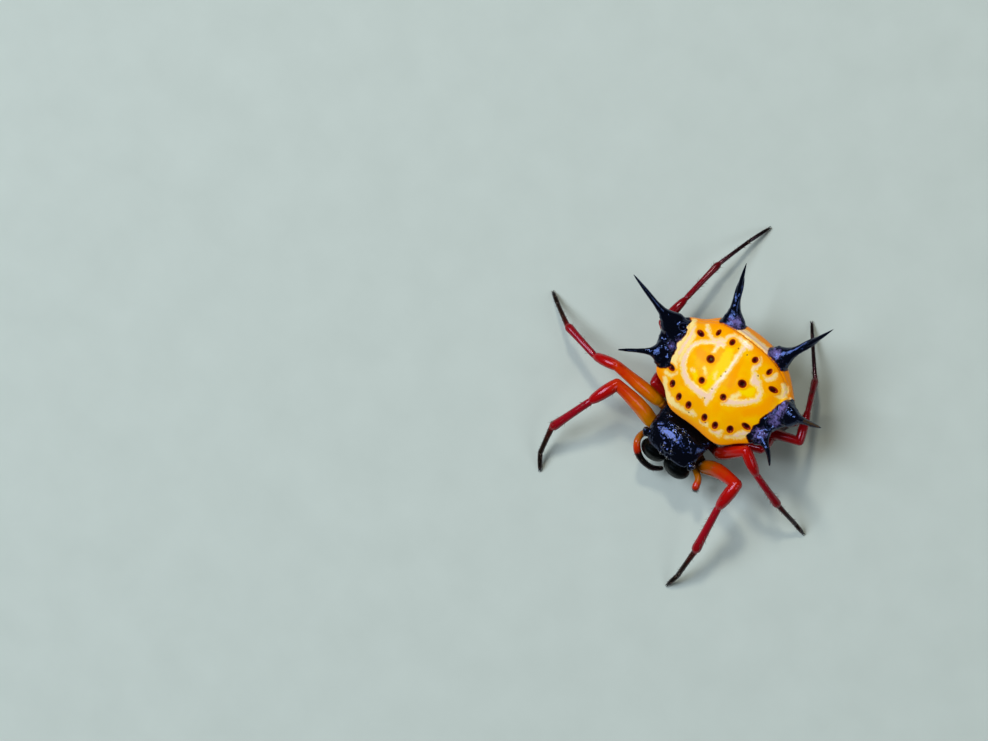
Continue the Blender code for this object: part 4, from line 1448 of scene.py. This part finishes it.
# %% [markdown]
# ## Eyes
# Spiders don't have the faceted eyes of insects: each of hers is a single smooth lens, a dome
# of clear cuticle that is moulded anew with each moult, over a dark cup. The eye gets a wet,
# clean point of light on near black. A sphere is the right shape, and a clear coat gives the
# small sharp highlight.


# %% Eyes
def to_mesh(bm):
    """A mesh from a bmesh, with its faces turned outwards."""
    bmesh.ops.recalc_face_normals(bm, faces=bm.faces)
    mesh = bpy.data.meshes.new("piece")
    bm.to_mesh(mesh)
    bm.free()
    return mesh


# Cells of the dark cup to the millimetre, and the facets of a lens
CUP_CELLS = 6.0
LENS_SEGMENTS, LENS_RINGS = 32, 20

lens_cuticle, tree, shader, place = new_material("clear_lens_cuticle")
depth = add(tree, "TexNoise", {"Vector": place, "Scale": CUP_CELLS, "Detail": 1.0})
colour = add(tree, "Mix", {0: depth, 6: shade("#050304"), 7: shade("#1a0d08")}, **BLEND)
connect(tree, shader, {"Base Color": colour, "Roughness": 0.08, "IOR": 1.5, "Coat Weight": 1.0,
                       "Coat Roughness": 0.02})
for kind, ((x, y, z), radius) in EYES.items():
    for side, word in ((1, "left"), (-1, "right")):
        bm = bmesh.new()
        bmesh.ops.create_uvsphere(bm, u_segments=LENS_SEGMENTS, v_segments=LENS_RINGS, radius=radius,
                                  matrix=Matrix.Translation((side * x, y, z)))
        finish_piece(f"eye_{kind}_{word}_lens", to_mesh(bm), head_frame, lens_cuticle,
                     [f"eye_{kind}_{word}"])

# %% [markdown]
# ## Chelicerae and fangs
# Two stout, bulging jaws hang from the front of the head, each with a curved fang folded
# across its lower end and three teeth that the fang closes against. Each jaw is a tube whose
# rings are ovals, wider across than deep, and the right one is the left one mirrored.

# %% Chelicerae
# Middle of each ring, its half width and its half depth
CHELICERA_RINGS = (((0.86, -2.54, 0.44), 0.36, 0.24), ((0.86, -2.62, 0.3), 0.66, 0.44),
                   ((0.86, -2.66, 0.02), 0.84, 0.58), ((0.85, -2.68, -0.35), 0.82, 0.58),
                   ((0.82, -2.68, -0.72), 0.62, 0.46), ((0.8, -2.66, -0.96), 0.36, 0.32))
# Places down a fang and its radius at each, and the places, length and radii of the teeth
FANG_RINGS = ((0.74, -2.68, -0.9), (0.68, -2.76, -1.12), (0.5, -2.66, -1.32), (0.3, -2.46, -1.4))
FANG_RADII = (0.15, 0.14, 0.08, 0.025)
TOOTH_PLACES = ((0.52, -2.43, -1.05), (0.6, -2.33, -1.02), (0.7, -2.28, -0.98))
TOOTH_LENGTH, TOOTH_ROOT, TOOTH_TIP = 0.16, 0.07, 0.01
JAW_STEPS, FANG_STEPS = 5, 6
JAW_SIDES, FANG_SIDES, TOOTH_SIDES = 40, 16, 10

for side, word in ((1, "left"), (-1, "right")):
    bm = bmesh.new()
    path = curve_through([place for place, _, _ in CHELICERA_RINGS], JAW_STEPS)
    sizes = curve_through([(wide, deep) for _, wide, deep in CHELICERA_RINGS], JAW_STEPS)
    tube(bm, path, [tuple(pair) for pair in sizes], JAW_SIDES, across=(1, 0, 0), cap=0.8, caps=6)
    fang = curve_through(FANG_RINGS, FANG_STEPS)
    shares = np.linspace(0, len(FANG_RADII) - 1, len(fang))
    tube(bm, fang, np.interp(shares, range(len(FANG_RADII)), FANG_RADII), FANG_SIDES)
    for place in TOOTH_PLACES:
        pointing_down = Matrix.Translation(place) @ Matrix.Rotation(math.pi, 4, "X")
        bmesh.ops.create_cone(bm, cap_ends=True, segments=TOOTH_SIDES, radius1=TOOTH_ROOT,
                              radius2=TOOTH_TIP, depth=TOOTH_LENGTH, matrix=pointing_down)
    if side < 0:
        bmesh.ops.transform(bm, matrix=Matrix.Diagonal((-1, 1, 1, 1)), verts=bm.verts)
    finish_piece(f"chelicera_{word}_jaw", to_mesh(bm), head_frame, jaw_cuticle,
                 [f"chelicera_{word}"])

# %% [markdown]
# ## Pedicel
# The two halves of a spider hang together by a stalk as thin as a leg. It is ringed, so that
# it can bend, which a tube shows when every second radius is a little larger.

# %% Pedicel
PEDICEL_RADIUS = 0.24
PEDICEL_STEPS, PEDICEL_SIDES = 12, 28
RING_SWELL = 0.05

path = [PEDICEL_FROM.lerp(PEDICEL_TO, k / PEDICEL_STEPS) for k in range(PEDICEL_STEPS + 1)]
radii = [PEDICEL_RADIUS * (1 + RING_SWELL * (-1) ** k) for k in range(PEDICEL_STEPS + 1)]
bm = bmesh.new()
tube(bm, path, radii, PEDICEL_SIDES)
finish_piece("pedicel_stalk", to_mesh(bm), body_frame, black_cuticle, ["pedicel"])

# %% [markdown]
# ## Spinnerets
# The spinnerets stand in a raised ring at the lowest point of the belly: two stout pairs that
# lean together over a small middle pair, and a little cone behind them. The ring is turned
# like a pot, and the spinnerets are tubes that taper.

# %% Spinnerets
# Radius and height down the ring
COLLAR_PROFILE = ((0.0, -3.8), (0.46, -3.8), (0.47, -4.1), (0.44, -4.4), (0.5, -4.66), (0.46, -4.76),
                  (0.36, -4.79), (0.0, -4.77))
# The ring's middle lies this far to her rear
COLLAR_SHIFT = 1.02
COLLAR_SIDES, SPINNERET_SIDES, REAR_CONE_SIDES = 40, 18, 16
# Root, tip and radius of the spinnerets on one side, and shares of the radius down each
SPINNERETS = (((0.2, 0.82, -4.66), (0.09, 0.92, -5.04), 0.15),
              ((0.2, 1.24, -4.66), (0.1, 1.13, -5.02), 0.14),
              ((0.07, 1.02, -4.7), (0.05, 1.02, -4.94), 0.06))
SPINNERET_TAPER = (1.0, 1.04, 1.0, 0.9, 0.88, 0.74, 0.5)
REAR_CONE = ((0, 1.4, -4.6), (0, 1.42, -4.76), (0, 1.4, -4.88))
REAR_CONE_RADII = (0.13, 0.1, 0.04)

bm = bmesh.new()
turned(bm, COLLAR_PROFILE, COLLAR_SIDES)
bmesh.ops.translate(bm, vec=(0, COLLAR_SHIFT, 0), verts=bm.verts)
steps = len(SPINNERET_TAPER) - 1
for root, tip, radius in SPINNERETS:
    for side in (1, -1):
        ends = [Vector((side * x, y, z)) for x, y, z in (root, tip)]
        path = [ends[0].lerp(ends[1], k / steps) for k in range(steps + 1)]
        tube(bm, path, [radius * share for share in SPINNERET_TAPER], SPINNERET_SIDES)
tube(bm, [Vector(point) for point in REAR_CONE], REAR_CONE_RADII, REAR_CONE_SIDES)
finish_piece("spinneret_group", to_mesh(bm), plate_frame, black_cuticle, ["spinnerets"])

# %% [markdown]
# ## Legs: where the joints are
# A spider's leg has seven parts: coxa, trochanter, femur, patella, tibia, metatarsus and
# tarsus. Each row below is one leg in this pose, from the femur on: a part's length, its turn
# seen from above, counted from straight out to her side, and its rise. The last two parts
# share whatever slope brings the foot down to the floor.

# %% Legs: joints
# Root of the coxa and the hip of each pair of legs, on her left
COXA_ROOTS = ((1.15, -1.22, -0.52), (1.18, -0.42, -0.52), (1.18, 0.42, -0.52), (1.1, 1.28, -0.5))
HIPS = ((1.98, -1.5, -0.42), (2.3, -0.5, -0.42), (2.2, 0.5, -0.42), (1.75, 1.5, -0.42))
# Two hips that are drawn back or forwards in this pose
HIP_SHIFTS = {"leg_1_left": (0.05, -0.2, 0.0), "leg_2_right": (0.1, 0.26, 0.0)}
LEG_POSES = {
    "leg_1_left": ((3.12, 11, 41), (1.85, -92, -22), (3.25, -82, -25), (2.3, -90), (1.0, -102)),
    "leg_1_right": ((3.38, 11, 28), (1.86, -70, -8), (3.1, -70, -23), (1.95, -100), (1.1, -123)),
    "leg_2_left": ((2.93, 42, 53), (1.6, -31, -23), (2.72, -19, -38), (2.0, -12), (0.92, -15)),
    "leg_2_right": ((3.5, 3, 25), (1.61, -14, -22), (2.58, 9, -17), (1.8, 25), (0.85, 28)),
    "leg_3_left": ((2.35, 22, 29), (1.05, 80, -45), (1.25, 84, -60), (1.0, 80), (0.65, 76)),
    "leg_3_right": ((1.35, 0, 40), (1.05, 84, -38), (1.25, 84, -46), (1.0, 69), (0.65, 64)),
    "leg_4_left": ((4.35, 21, 16), (1.84, 113, -8), (2.4, 117, -38), (2.17, 133), (1.44, 132)),
    "leg_4_right": ((3.95, 32, 9), (1.93, 96, -4), (2.9, 95, -13), (2.35, 104), (1.41, 108)),
}
# Height of the last joint, and the first of the parts that share the slope to the floor
FOOT_HEIGHT = 0.12
METATARSUS = 3


def leg_joints(name):
    """Places of a leg's joints, from the root of its coxa to the end of its tarsus."""
    pair = int(name[4]) - 1
    side = 1 if name.endswith("left") else -1
    hip = Vector(HIPS[pair]) + Vector(HIP_SHIFTS.get(name, (0, 0, 0)))
    joints = [head_frame @ Vector((side * x, y, z)) for x, y, z in (COXA_ROOTS[pair], hip)]
    pose = LEG_POSES[name]
    foot_length = sum(length for length, *_ in pose[METATARSUS:])
    for part, (length, turn_out, *rise) in enumerate(pose):
        if part == METATARSUS:
            foot_slope = -math.asin((joints[-1].z - FOOT_HEIGHT) / foot_length)
        slope = math.radians(rise[0]) if rise else foot_slope
        heading = math.radians(turn_out)
        level = math.cos(slope)
        reach = Vector((side * math.cos(heading) * level, math.sin(heading) * level, math.sin(slope)))
        joints.append(joints[-1] + reach * length)
    return joints


legs = {name: leg_joints(name) for name in LEG_POSES}
print("feet, mm:", {name: [round(v, 1) for v in joints[-1]] for name, joints in legs.items()})

# %% [markdown]
# ## Legs: one part after another
# Each part is a tube of its own. It starts narrow, swells, and ends in a slightly flared lip
# that the next part turns in, so the joints read as real joints. The short trochanter is left
# to the bead between coxa and femur. No part is quite straight, so each bows a little.

# %% Legs: radii of each part
# Part: its shape as (share of its length, radius in mm), and how far it bows upwards
LEG_PARTS = (
    ("coxa", ((0.0, 0.26), (0.5, 0.3), (0.9, 0.35), (1.0, 0.34)), 0.0),
    ("femur", ((0.0, 0.34), (0.08, 0.44), (0.25, 0.47), (0.5, 0.45), (0.75, 0.39), (0.93, 0.36),
               (1.0, 0.35)), 0.06),
    ("patella", ((0.0, 0.32), (0.12, 0.37), (0.35, 0.39), (0.6, 0.37), (0.85, 0.31), (0.95, 0.25),
                 (1.0, 0.2)), 0.06),
    ("tibia", ((0.0, 0.19), (0.06, 0.23), (0.3, 0.235), (0.55, 0.245), (0.78, 0.27), (0.9, 0.3),
               (0.96, 0.28), (1.0, 0.2)), 0.03),
    ("metatarsus", ((0.0, 0.15), (0.06, 0.185), (0.4, 0.16), (0.85, 0.15), (0.96, 0.16), (1.0, 0.14)), 0.03),
    ("tarsus", ((0.0, 0.12), (0.1, 0.15), (0.5, 0.15), (0.85, 0.13), (1.0, 0.09)), 0.03),
)
print("parts of a leg:", [part for part, _, _ in LEG_PARTS])

# %% Legs: bowed paths
# How far a femur also bows towards her rear, in mm
FEMUR_SWAYS = {"leg_1_left": 0.22, "leg_1_right": 0.12}
# Radii of the four pairs of legs against the ones above
LEG_STOUTNESS = (1.0, 0.9, 0.88, 0.75)
PART_STEPS = 22
# A part starts this far inside the one before it, and ends this far past its joint
PART_BEFORE = 0.06
PART_PAST = 0.02
# A part whose upward direction is shorter than this stands nearly upright, and bows sideways
UPRIGHT = 0.05


def bowed(start, end, bow, sway, steps):
    """Places on a shallow arc from start to end that bows up from the floor and to the rear."""
    run = end - start
    up = Vector((0, 0, 1)) - run * (run.z / run.length_squared)
    up = up.normalized() if up.length > UPRIGHT else Vector((1, 0, 0))
    rise = up * bow * run.length + Vector((0, sway, 0))
    return [start.lerp(end, k / steps) + rise * math.sin(math.pi * k / steps) for k in range(steps + 1)]


def leg_shape(name):
    """The parts of one leg: for each, its path and its radii."""
    joints = legs[name]
    stoutness = LEG_STOUTNESS[int(name[4]) - 1]
    shares = [k / PART_STEPS for k in range(PART_STEPS + 1)]
    parts = []
    for number, (part, profile, bow) in enumerate(LEG_PARTS):
        start, end = joints[number], joints[number + 1]
        run = (end - start).normalized()
        before = run * PART_BEFORE * (0.0 if part == "coxa" else 1.0)
        sway = FEMUR_SWAYS.get(name, 0.0) if part == "femur" else 0.0
        path = bowed(start - before, end + run * PART_PAST, bow, sway, PART_STEPS)
        radii = np.interp(shares, [t for t, _ in profile], [r for _, r in profile]) * stoutness
        parts.append((path, list(radii)))
    return parts


leg_parts = {name: leg_shape(name) for name in legs}
print("parts of legs:", sum(len(parts) for parts in leg_parts.values()))

# %% [markdown]
# ## Claws
# A foot ends in two curved claws, with which she holds her thread. Each is a thin bent tube
# that reaches down to the floor.

# %% Legs: claws
# Claws: how far ahead, apart and above the floor their bends are, and their radii
CLAW_BENDS = ((-0.04, 0.03, 0.12), (0.09, 0.05, 0.15), (0.17, 0.06, 0.03))
CLAW_RADII = (0.035, 0.028, 0.01)
CLAW_STEPS, CLAW_SIDES = 4, 8
# Claws take the colour of this place along the leg
CLAW_MARK = 5.9


def add_claws(bm, along, ankle, toe):
    """Two curved claws side by side at the end of a foot, which reach down to the floor."""
    up = Vector((0, 0, 1))
    ahead = Vector((toe.x - ankle.x, toe.y - ankle.y, 0)).normalized()
    across = ahead.cross(up)
    for side in (1, -1):
        bends = [toe + ahead * forward + across * side * apart + up * (height - toe.z)
                 for forward, apart, height in CLAW_BENDS]
        path = curve_through(bends, CLAW_STEPS)
        radii = np.interp(np.linspace(0, 1, len(path)), (0.0, 0.5, 1.0), CLAW_RADII)
        tube(bm, path, list(radii), CLAW_SIDES, [CLAW_MARK] * len(path), along, caps=2)


print("claws:", 2 * len(legs))

# %% [markdown]
# ## Legs: tubes and joints
# A small bead of soft membrane fills the gap at each joint, and at the knee, where the parts
# meet at a sharp angle, it is as wide as they are and has their colour. A number that rises
# along the leg is kept on every point, and the material uses it to run from orange at the body
# to black at the foot.

# %% Legs: meshes
LEG_SIDES = 24
# The number rises by nearly 1 along each part
MARK_SPAN = 0.999
# Beads of membrane are marked with this number, and the knee is the joint before this part
MEMBRANE_MARK = 10.0
KNEE = 2
# A bead's radius against the wider of the two parts that meet there
KNEE_BEAD, BEAD = 0.99, 0.9

leg_meshes = {}
for name, parts in leg_parts.items():
    bm = bmesh.new()
    along = bm.verts.layers.float.new("along")
    for number, (path, radii) in enumerate(parts):
        marks_here = [number + MARK_SPAN * k / PART_STEPS for k in range(PART_STEPS + 1)]
        tube(bm, path, radii, LEG_SIDES, marks_here, along, cap=0.5)
        if number:
            at_knee = number == KNEE
            bead = max(radii[0], parts[number - 1][1][-1]) * (KNEE_BEAD if at_knee else BEAD)
            grown = bmesh.ops.create_icosphere(bm, subdivisions=3, radius=bead,
                                               matrix=Matrix.Translation(legs[name][number]))
            for vert in grown["verts"]:
                vert[along] = number if at_knee else MEMBRANE_MARK
    add_claws(bm, along, *legs[name][-2:])
    leg_meshes[name] = to_mesh(bm)
print("leg meshes:", len(leg_meshes))

# %% [markdown]
# ## Leg cuticle
# A leg is a pipe of thin translucent cuticle, hardened much less than the plate, so some light
# goes through it into the flesh and comes back: it glows orange and crimson from within, and
# its surface still has the hard gloss of a shell. Colour runs along the leg in her own order:
# ochre at the root, orange-red before the knee, crimson down the shin and nearly black at the
# foot. The first two left legs lie in shadow near their roots, and their ramps are darker
# there as painted shade. The second left leg is red all along, and the rear legs are a deeper red.

# %% Legs: colours along a leg
# Place along the leg, counted in parts from the coxa, and the colour there
LEG_COLOURS = {
    "front": ((0.0, "#2a1004"), (0.8, "#4a2204"), (1.08, "#e08c00"), (1.3, "#dc7a00"), (1.6, "#d45400"),
              (1.95, "#c62c00"), (2.3, "#a80a04"), (2.9, "#a0060c"), (3.1, "#8e0816"), (3.7, "#900a18"),
              (3.98, "#86080c"), (4.1, "#40100a"), (4.5, "#20140a"), (6.0, "#080a05")),
    # First left leg: painted shade darkens it near the root, and it turns red sooner
    "first_left_shaded": ((0.0, "#2a1004"), (1.0, "#6a4200"), (1.3, "#8c4400"), (1.5, "#a43400"), (1.75, "#b42000"),
                   (2.0, "#b41400"), (2.3, "#a80a04"), (2.9, "#a0080e"), (3.1, "#920a18"), (3.7, "#920c1a"),
                   (3.98, "#86080c"), (4.1, "#40100a"), (4.5, "#20140a"), (6.0, "#080a05")),
    # Second left leg: painted shade darkens it at the root
    "second_left_shaded": ((0.0, "#3a0806"), (1.0, "#6c1002"), (1.5, "#8a1002"), (1.9, "#b00e02"), (2.3, "#a60a04"),
                    (2.9, "#98080c"), (3.1, "#8a0814"), (3.7, "#860a16"), (3.98, "#7a080c"),
                    (4.1, "#3a0e0a"), (4.5, "#1c120a"), (6.0, "#080a05")),
    "rear": ((0.0, "#3a0806"), (1.0, "#7c1004"), (1.6, "#8a0a04"), (2.2, "#8a050a"), (3.2, "#76050c"),
             (3.9, "#60060a"), (4.1, "#340608"), (4.6, "#160606"), (6.0, "#060604")),
    "palp": ((0.0, "#2a1004"), (1.0, "#8a5400"), (2.0, "#a85a08"), (2.6, "#c03000"), (3.05, "#a01c02"),
             (3.25, "#220a04"), (3.4, "#070805"), (6.0, "#060706")),
}
LEG_KINDS = {"leg_1_left": "first_left_shaded", "leg_2_left": "second_left_shaded",
             "leg_1_right": "front", "leg_2_right": "front"}
print("colours along a leg:", {kind: len(stops) for kind, stops in LEG_COLOURS.items()})


# %% Material: leg cuticle
# Last place on the ramp, and cells to the millimetre: of stains, and of a grain that is 0.02 mm
# wide in life and is drawn at about 0.06 mm
LEG_END = 6.0
STAIN_CELLS, STAIN_SHIFT = 2.4, 0.5
LEG_GRAIN_CELLS, LEG_BUMP = 18.0, 0.01
MEMBRANE_COLOUR = "#7a2a14"


def leg_material(kind):
    """Translucent cuticle whose colour runs along a leg or a palp of this kind."""
    material, tree, shader, place = new_material(f"leg_cuticle_{kind}")
    along = add(tree, "Attribute", {}, output="Fac", attribute_name="along")
    stains = add(tree, "TexNoise", {"Vector": place, "Scale": STAIN_CELLS, "Detail": 3.0})
    shifted = add(tree, "Math", {0: stains, 1: STAIN_SHIFT, 2: along}, operation="MULTIPLY_ADD")
    share = add(tree, "MapRange", {"Value": shifted, "From Min": STAIN_SHIFT / 2,
                                   "From Max": LEG_END + STAIN_SHIFT / 2})
    colour = add(tree, "ValToRGB", {"Fac": share})
    elements = tree.nodes[-1].color_ramp.elements
    stops = LEG_COLOURS[kind]
    while len(elements) < len(stops):
        elements.new(0.5)
    for element, (position, tint) in zip(elements, stops):
        element.position = position / LEG_END
        element.color = shade(tint)
    soft = add(tree, "Math", {0: along, 1: MEMBRANE_MARK - 1}, operation="GREATER_THAN")
    colour = add(tree, "Mix", {0: soft, 6: colour, 7: shade(MEMBRANE_COLOUR)}, **BLEND)
    grain = add(tree, "TexNoise", {"Vector": place, "Scale": LEG_GRAIN_CELLS, "Detail": 3.0})
    bump = add(tree, "Bump", {"Height": grain, "Distance": LEG_BUMP * MM, "Strength": 0.5})
    polish = add(tree, "MapRange", {"Value": grain, "To Min": 0.12, "To Max": 0.22})
    connect(tree, shader, {"Base Color": colour, "Roughness": polish, "Normal": bump, "IOR": 1.45,
                           "Specular Tint": shade("#d8a8c8"), "Coat Weight": 0.2, "Coat Roughness": 0.05,
                           "Subsurface Weight": 0.12, "Subsurface Scale": 0.15 * MM})
    return material


print("kinds of leg cuticle:", sorted(LEG_COLOURS))

# %% Legs: pieces
leg_cuticle = {kind: leg_material(kind) for kind in LEG_COLOURS}
for name, mesh in leg_meshes.items():
    cuticle = leg_cuticle[LEG_KINDS.get(name, "rear")]
    finish_piece(f"{name}_parts", mesh, Matrix.Identity(4), cuticle, [name])

# %% [markdown]
# ## Palps
# In front of the legs a female has two short palps, built like small legs with one part fewer.
# The right one is raised over her jaws, and the left one hangs beside them. They are so small
# that one bent tube for each is enough, with the same cuticle as the legs.

# %% Palps
# Places of the joints down each palp, out from the middle line, and its radius at each
PALPS = {
    "left": ((1.38, -1.98, -0.72), (1.85, -2.16, -0.5), (2.3, -2.45, -0.28), (2.46, -2.88, -0.26),
             (2.46, -3.02, -0.62), (2.38, -3.02, -0.98), (2.24, -2.96, -1.35)),
    "right": ((1.38, -1.98, -0.72), (1.96, -2.24, -0.32), (1.92, -2.75, 0.3), (1.6, -3.28, 0.08),
              (1.1, -3.6, -0.42), (0.5, -3.62, -0.98), (0.05, -3.3, -1.36)),
}
PALP_RADII = (0.2, 0.2, 0.2, 0.23, 0.19, 0.18, 0.13)
PALP_STEPS = 8
PALP_SIDES = 20

palp_parts = []
for word, side in (("left", 1), ("right", -1)):
    points = [Vector((side * x, y, z)) for x, y, z in PALPS[word]]
    path = curve_through(points, PALP_STEPS)
    shares = np.linspace(0, len(points) - 1, len(path))
    radii = list(np.interp(shares, range(len(points)), PALP_RADII))
    palp_parts.append((path, radii))
    bm = bmesh.new()
    along = bm.verts.layers.float.new("along")
    tube(bm, path, radii, PALP_SIDES, [share * MARK_SPAN for share in shares], along)
    finish_piece(f"pedipalp_{word}_parts", to_mesh(bm), head_frame, leg_cuticle["palp"],
                 [f"pedipalp_{word}"])

# %% [markdown]
# ## Bristles: what they are
# Short bristles stand on her shins, feet and palps and on the soft belly. A bristle is a
# hollow hair of tanned chitin, brown and springy, pushed out by one cell of the skin, and its
# smooth side gives a thin line of light. They are few and stiff, so each is a solid cone of
# four sides. Each also gets a small patch on a map of the skin that it stands on.

# %% Bristles: material and one bristle
BRISTLE_RADIUS = 0.011
TIP_RADIUS = BRISTLE_RADIUS / 6
BRISTLE_SIDES = 4
# How deep a root is set into the skin
ROOT_DEPTH = 0.01
# Width of a bristle's patch on the map
PATCH_SIZE = 0.003
# Brown tones change from bristle to bristle, at this number of cells to the millimetre
BRISTLE_TONES = 3.0

bristle_chitin, tree, shader, place = new_material("bristle_chitin")
tone = add(tree, "TexNoise", {"Vector": place, "Scale": BRISTLE_TONES})
colour = add(tree, "Mix", {0: tone, 6: shade("#2a1610"), 7: shade("#8a6a50")}, **BLEND)
connect(tree, shader, {"Base Color": colour, "Roughness": 0.35})


def add_bristle(bm, uv, root, lean, length, patch):
    """One cone with its root on the skin, and its faces on a small patch of the map."""
    turned_to = lean.to_track_quat("Z", "Y").to_matrix()
    placed = Matrix.Translation(root + lean * length / 2) @ turned_to.to_4x4()
    grown = bmesh.ops.create_cone(bm, cap_ends=True, segments=BRISTLE_SIDES, radius1=BRISTLE_RADIUS,
                                  radius2=TIP_RADIUS, depth=length, matrix=placed)
    for vert in grown["verts"]:
        off = turned_to.inverted() @ (vert.co - root)
        flat_off = Vector((off.x, off.y)) * PATCH_SIZE / (2 * BRISTLE_RADIUS)
        for loop in vert.link_loops:
            loop[uv].uv = Vector(patch) + flat_off


print("a bristle is", 2 * BRISTLE_RADIUS, "mm thick")

# %% [markdown]
# ## Bristles on legs and palps
# Most of them lean towards the foot, and those on the feet are the shortest. Places, lengths
# and leans are drawn at random, with a fixed seed. On the map a leg is unrolled: along it in
# one direction and round it in the other, with a field of its own for each part of each leg.

# %% Helper: bristles round a bent tube
# Shares of a part's length that carry bristles, and how much they lean towards the foot
BRISTLE_RUN = (0.05, 0.97)
BRISTLE_LEAN = (0.6, 1.3)
# Width of a field on the map
FIELD_WIDTH = 0.1

chance = random.Random(23)


def bristles_on_tube(bm, uv, path, radii, plan, corner, length_on_map):
    """Bristles round a bent tube, and the place of its field on the map."""
    count, shortest, longest = plan
    frames = frames_along(path)
    for _ in range(count):
        share = chance.uniform(*BRISTLE_RUN)
        k = min(int(share * len(path)), len(path) - 1)
        angle = chance.uniform(0, math.tau)
        across, side, ahead = (Vector(column[:3]) for column in frames[k].transposed()[:3])
        outward = across * math.cos(angle) + side * math.sin(angle)
        root = frames[k].translation + outward * (radii[k] - ROOT_DEPTH)
        lean_here = (outward + ahead * chance.uniform(*BRISTLE_LEAN)).normalized()
        patch = (corner[0] + length_on_map * share, corner[1] + FIELD_WIDTH * angle / math.tau)
        add_bristle(bm, uv, root, lean_here, chance.uniform(shortest, longest), patch)


print("shares of a part that carry bristles:", BRISTLE_RUN)

# %% Bristles: legs
# Number of bristles on a part, and their shortest and longest length
BRISTLES = {"patella": (9, 0.14, 0.22), "tibia": (34, 0.16, 0.28), "metatarsus": (30, 0.12, 0.2),
            "tarsus": (22, 0.07, 0.12)}
# On the map: corner of the first field, steps to the next part and leg, and a field's length
FIELD_CORNER, FIELD_STEPS, FIELD_LENGTH = (0.02, 0.01), (0.16, 0.12), 0.14

bm = bmesh.new()
uv = bm.loops.layers.uv.new("OFBake")
for row, (name, parts) in enumerate(leg_parts.items()):
    for number, (path, radii) in enumerate(parts):
        plan = BRISTLES.get(LEG_PARTS[number][0])
        if plan:
            corner = (FIELD_CORNER[0] + FIELD_STEPS[0] * number, FIELD_CORNER[1] + FIELD_STEPS[1] * row)
            bristles_on_tube(bm, uv, path, radii, plan, corner, FIELD_LENGTH)
finish_piece("leg_bristles", to_mesh(bm), Matrix.Identity(4), bristle_chitin)

# %% Bristles: palps
PALP_BRISTLES = (40, 0.08, 0.16)
# On the map: corner of the first palp's field, step to the next one, and a field's length
PALP_CORNER, PALP_STEP, PALP_LENGTH = (0.05, 0.1), 0.2, 0.8

bm = bmesh.new()
uv = bm.loops.layers.uv.new("OFBake")
for row, (path, radii) in enumerate(palp_parts):
    half = len(path) // 2
    corner = (PALP_CORNER[0], PALP_CORNER[1] + PALP_STEP * row)
    bristles_on_tube(bm, uv, path[half:], radii[half:], PALP_BRISTLES, corner, PALP_LENGTH)
finish_piece("palp_bristles", to_mesh(bm), head_frame, bristle_chitin)

# %% [markdown]
# ## Bristles on the belly
# The soft belly is thinly haired. The roots are drawn among the skin's own points below the
# wall, each at most once, and the map of the belly is simply its view from below.

# %% Bristles: belly
# Number of bristles, and their shortest and longest length
BELLY_BRISTLES = (260, 0.08, 0.16)
# They stand between these heights, and lean to the rear and down
BELLY_RUN = (-4.1, FLANK_HEIGHT - 0.1)
BELLY_LEAN = Vector((0, 0.5, -0.3))
# On the map: the belly's middle, and how much of the map a millimetre takes up
BELLY_MIDDLE, BELLY_SCALE = 0.5, 0.09

bm = bmesh.new()
uv = bm.loops.layers.uv.new("OFBake")
count, shortest, longest = BELLY_BRISTLES
soft_skin = np.flatnonzero((skin_places[:, 2] < BELLY_RUN[1]) & (skin_places[:, 2] > BELLY_RUN[0]))
for i in chance.sample(list(soft_skin), count):
    root, outward = Vector(skin_places[i]), Vector(skin_normals[i])
    lean_here = (outward + BELLY_LEAN).normalized()
    patch = (BELLY_MIDDLE + BELLY_SCALE * root.x, BELLY_MIDDLE + BELLY_SCALE * root.y)
    add_bristle(bm, uv, root - outward * ROOT_DEPTH, lean_here, chance.uniform(shortest, longest), patch)
finish_piece("belly_bristles", to_mesh(bm), plate_frame, bristle_chitin)
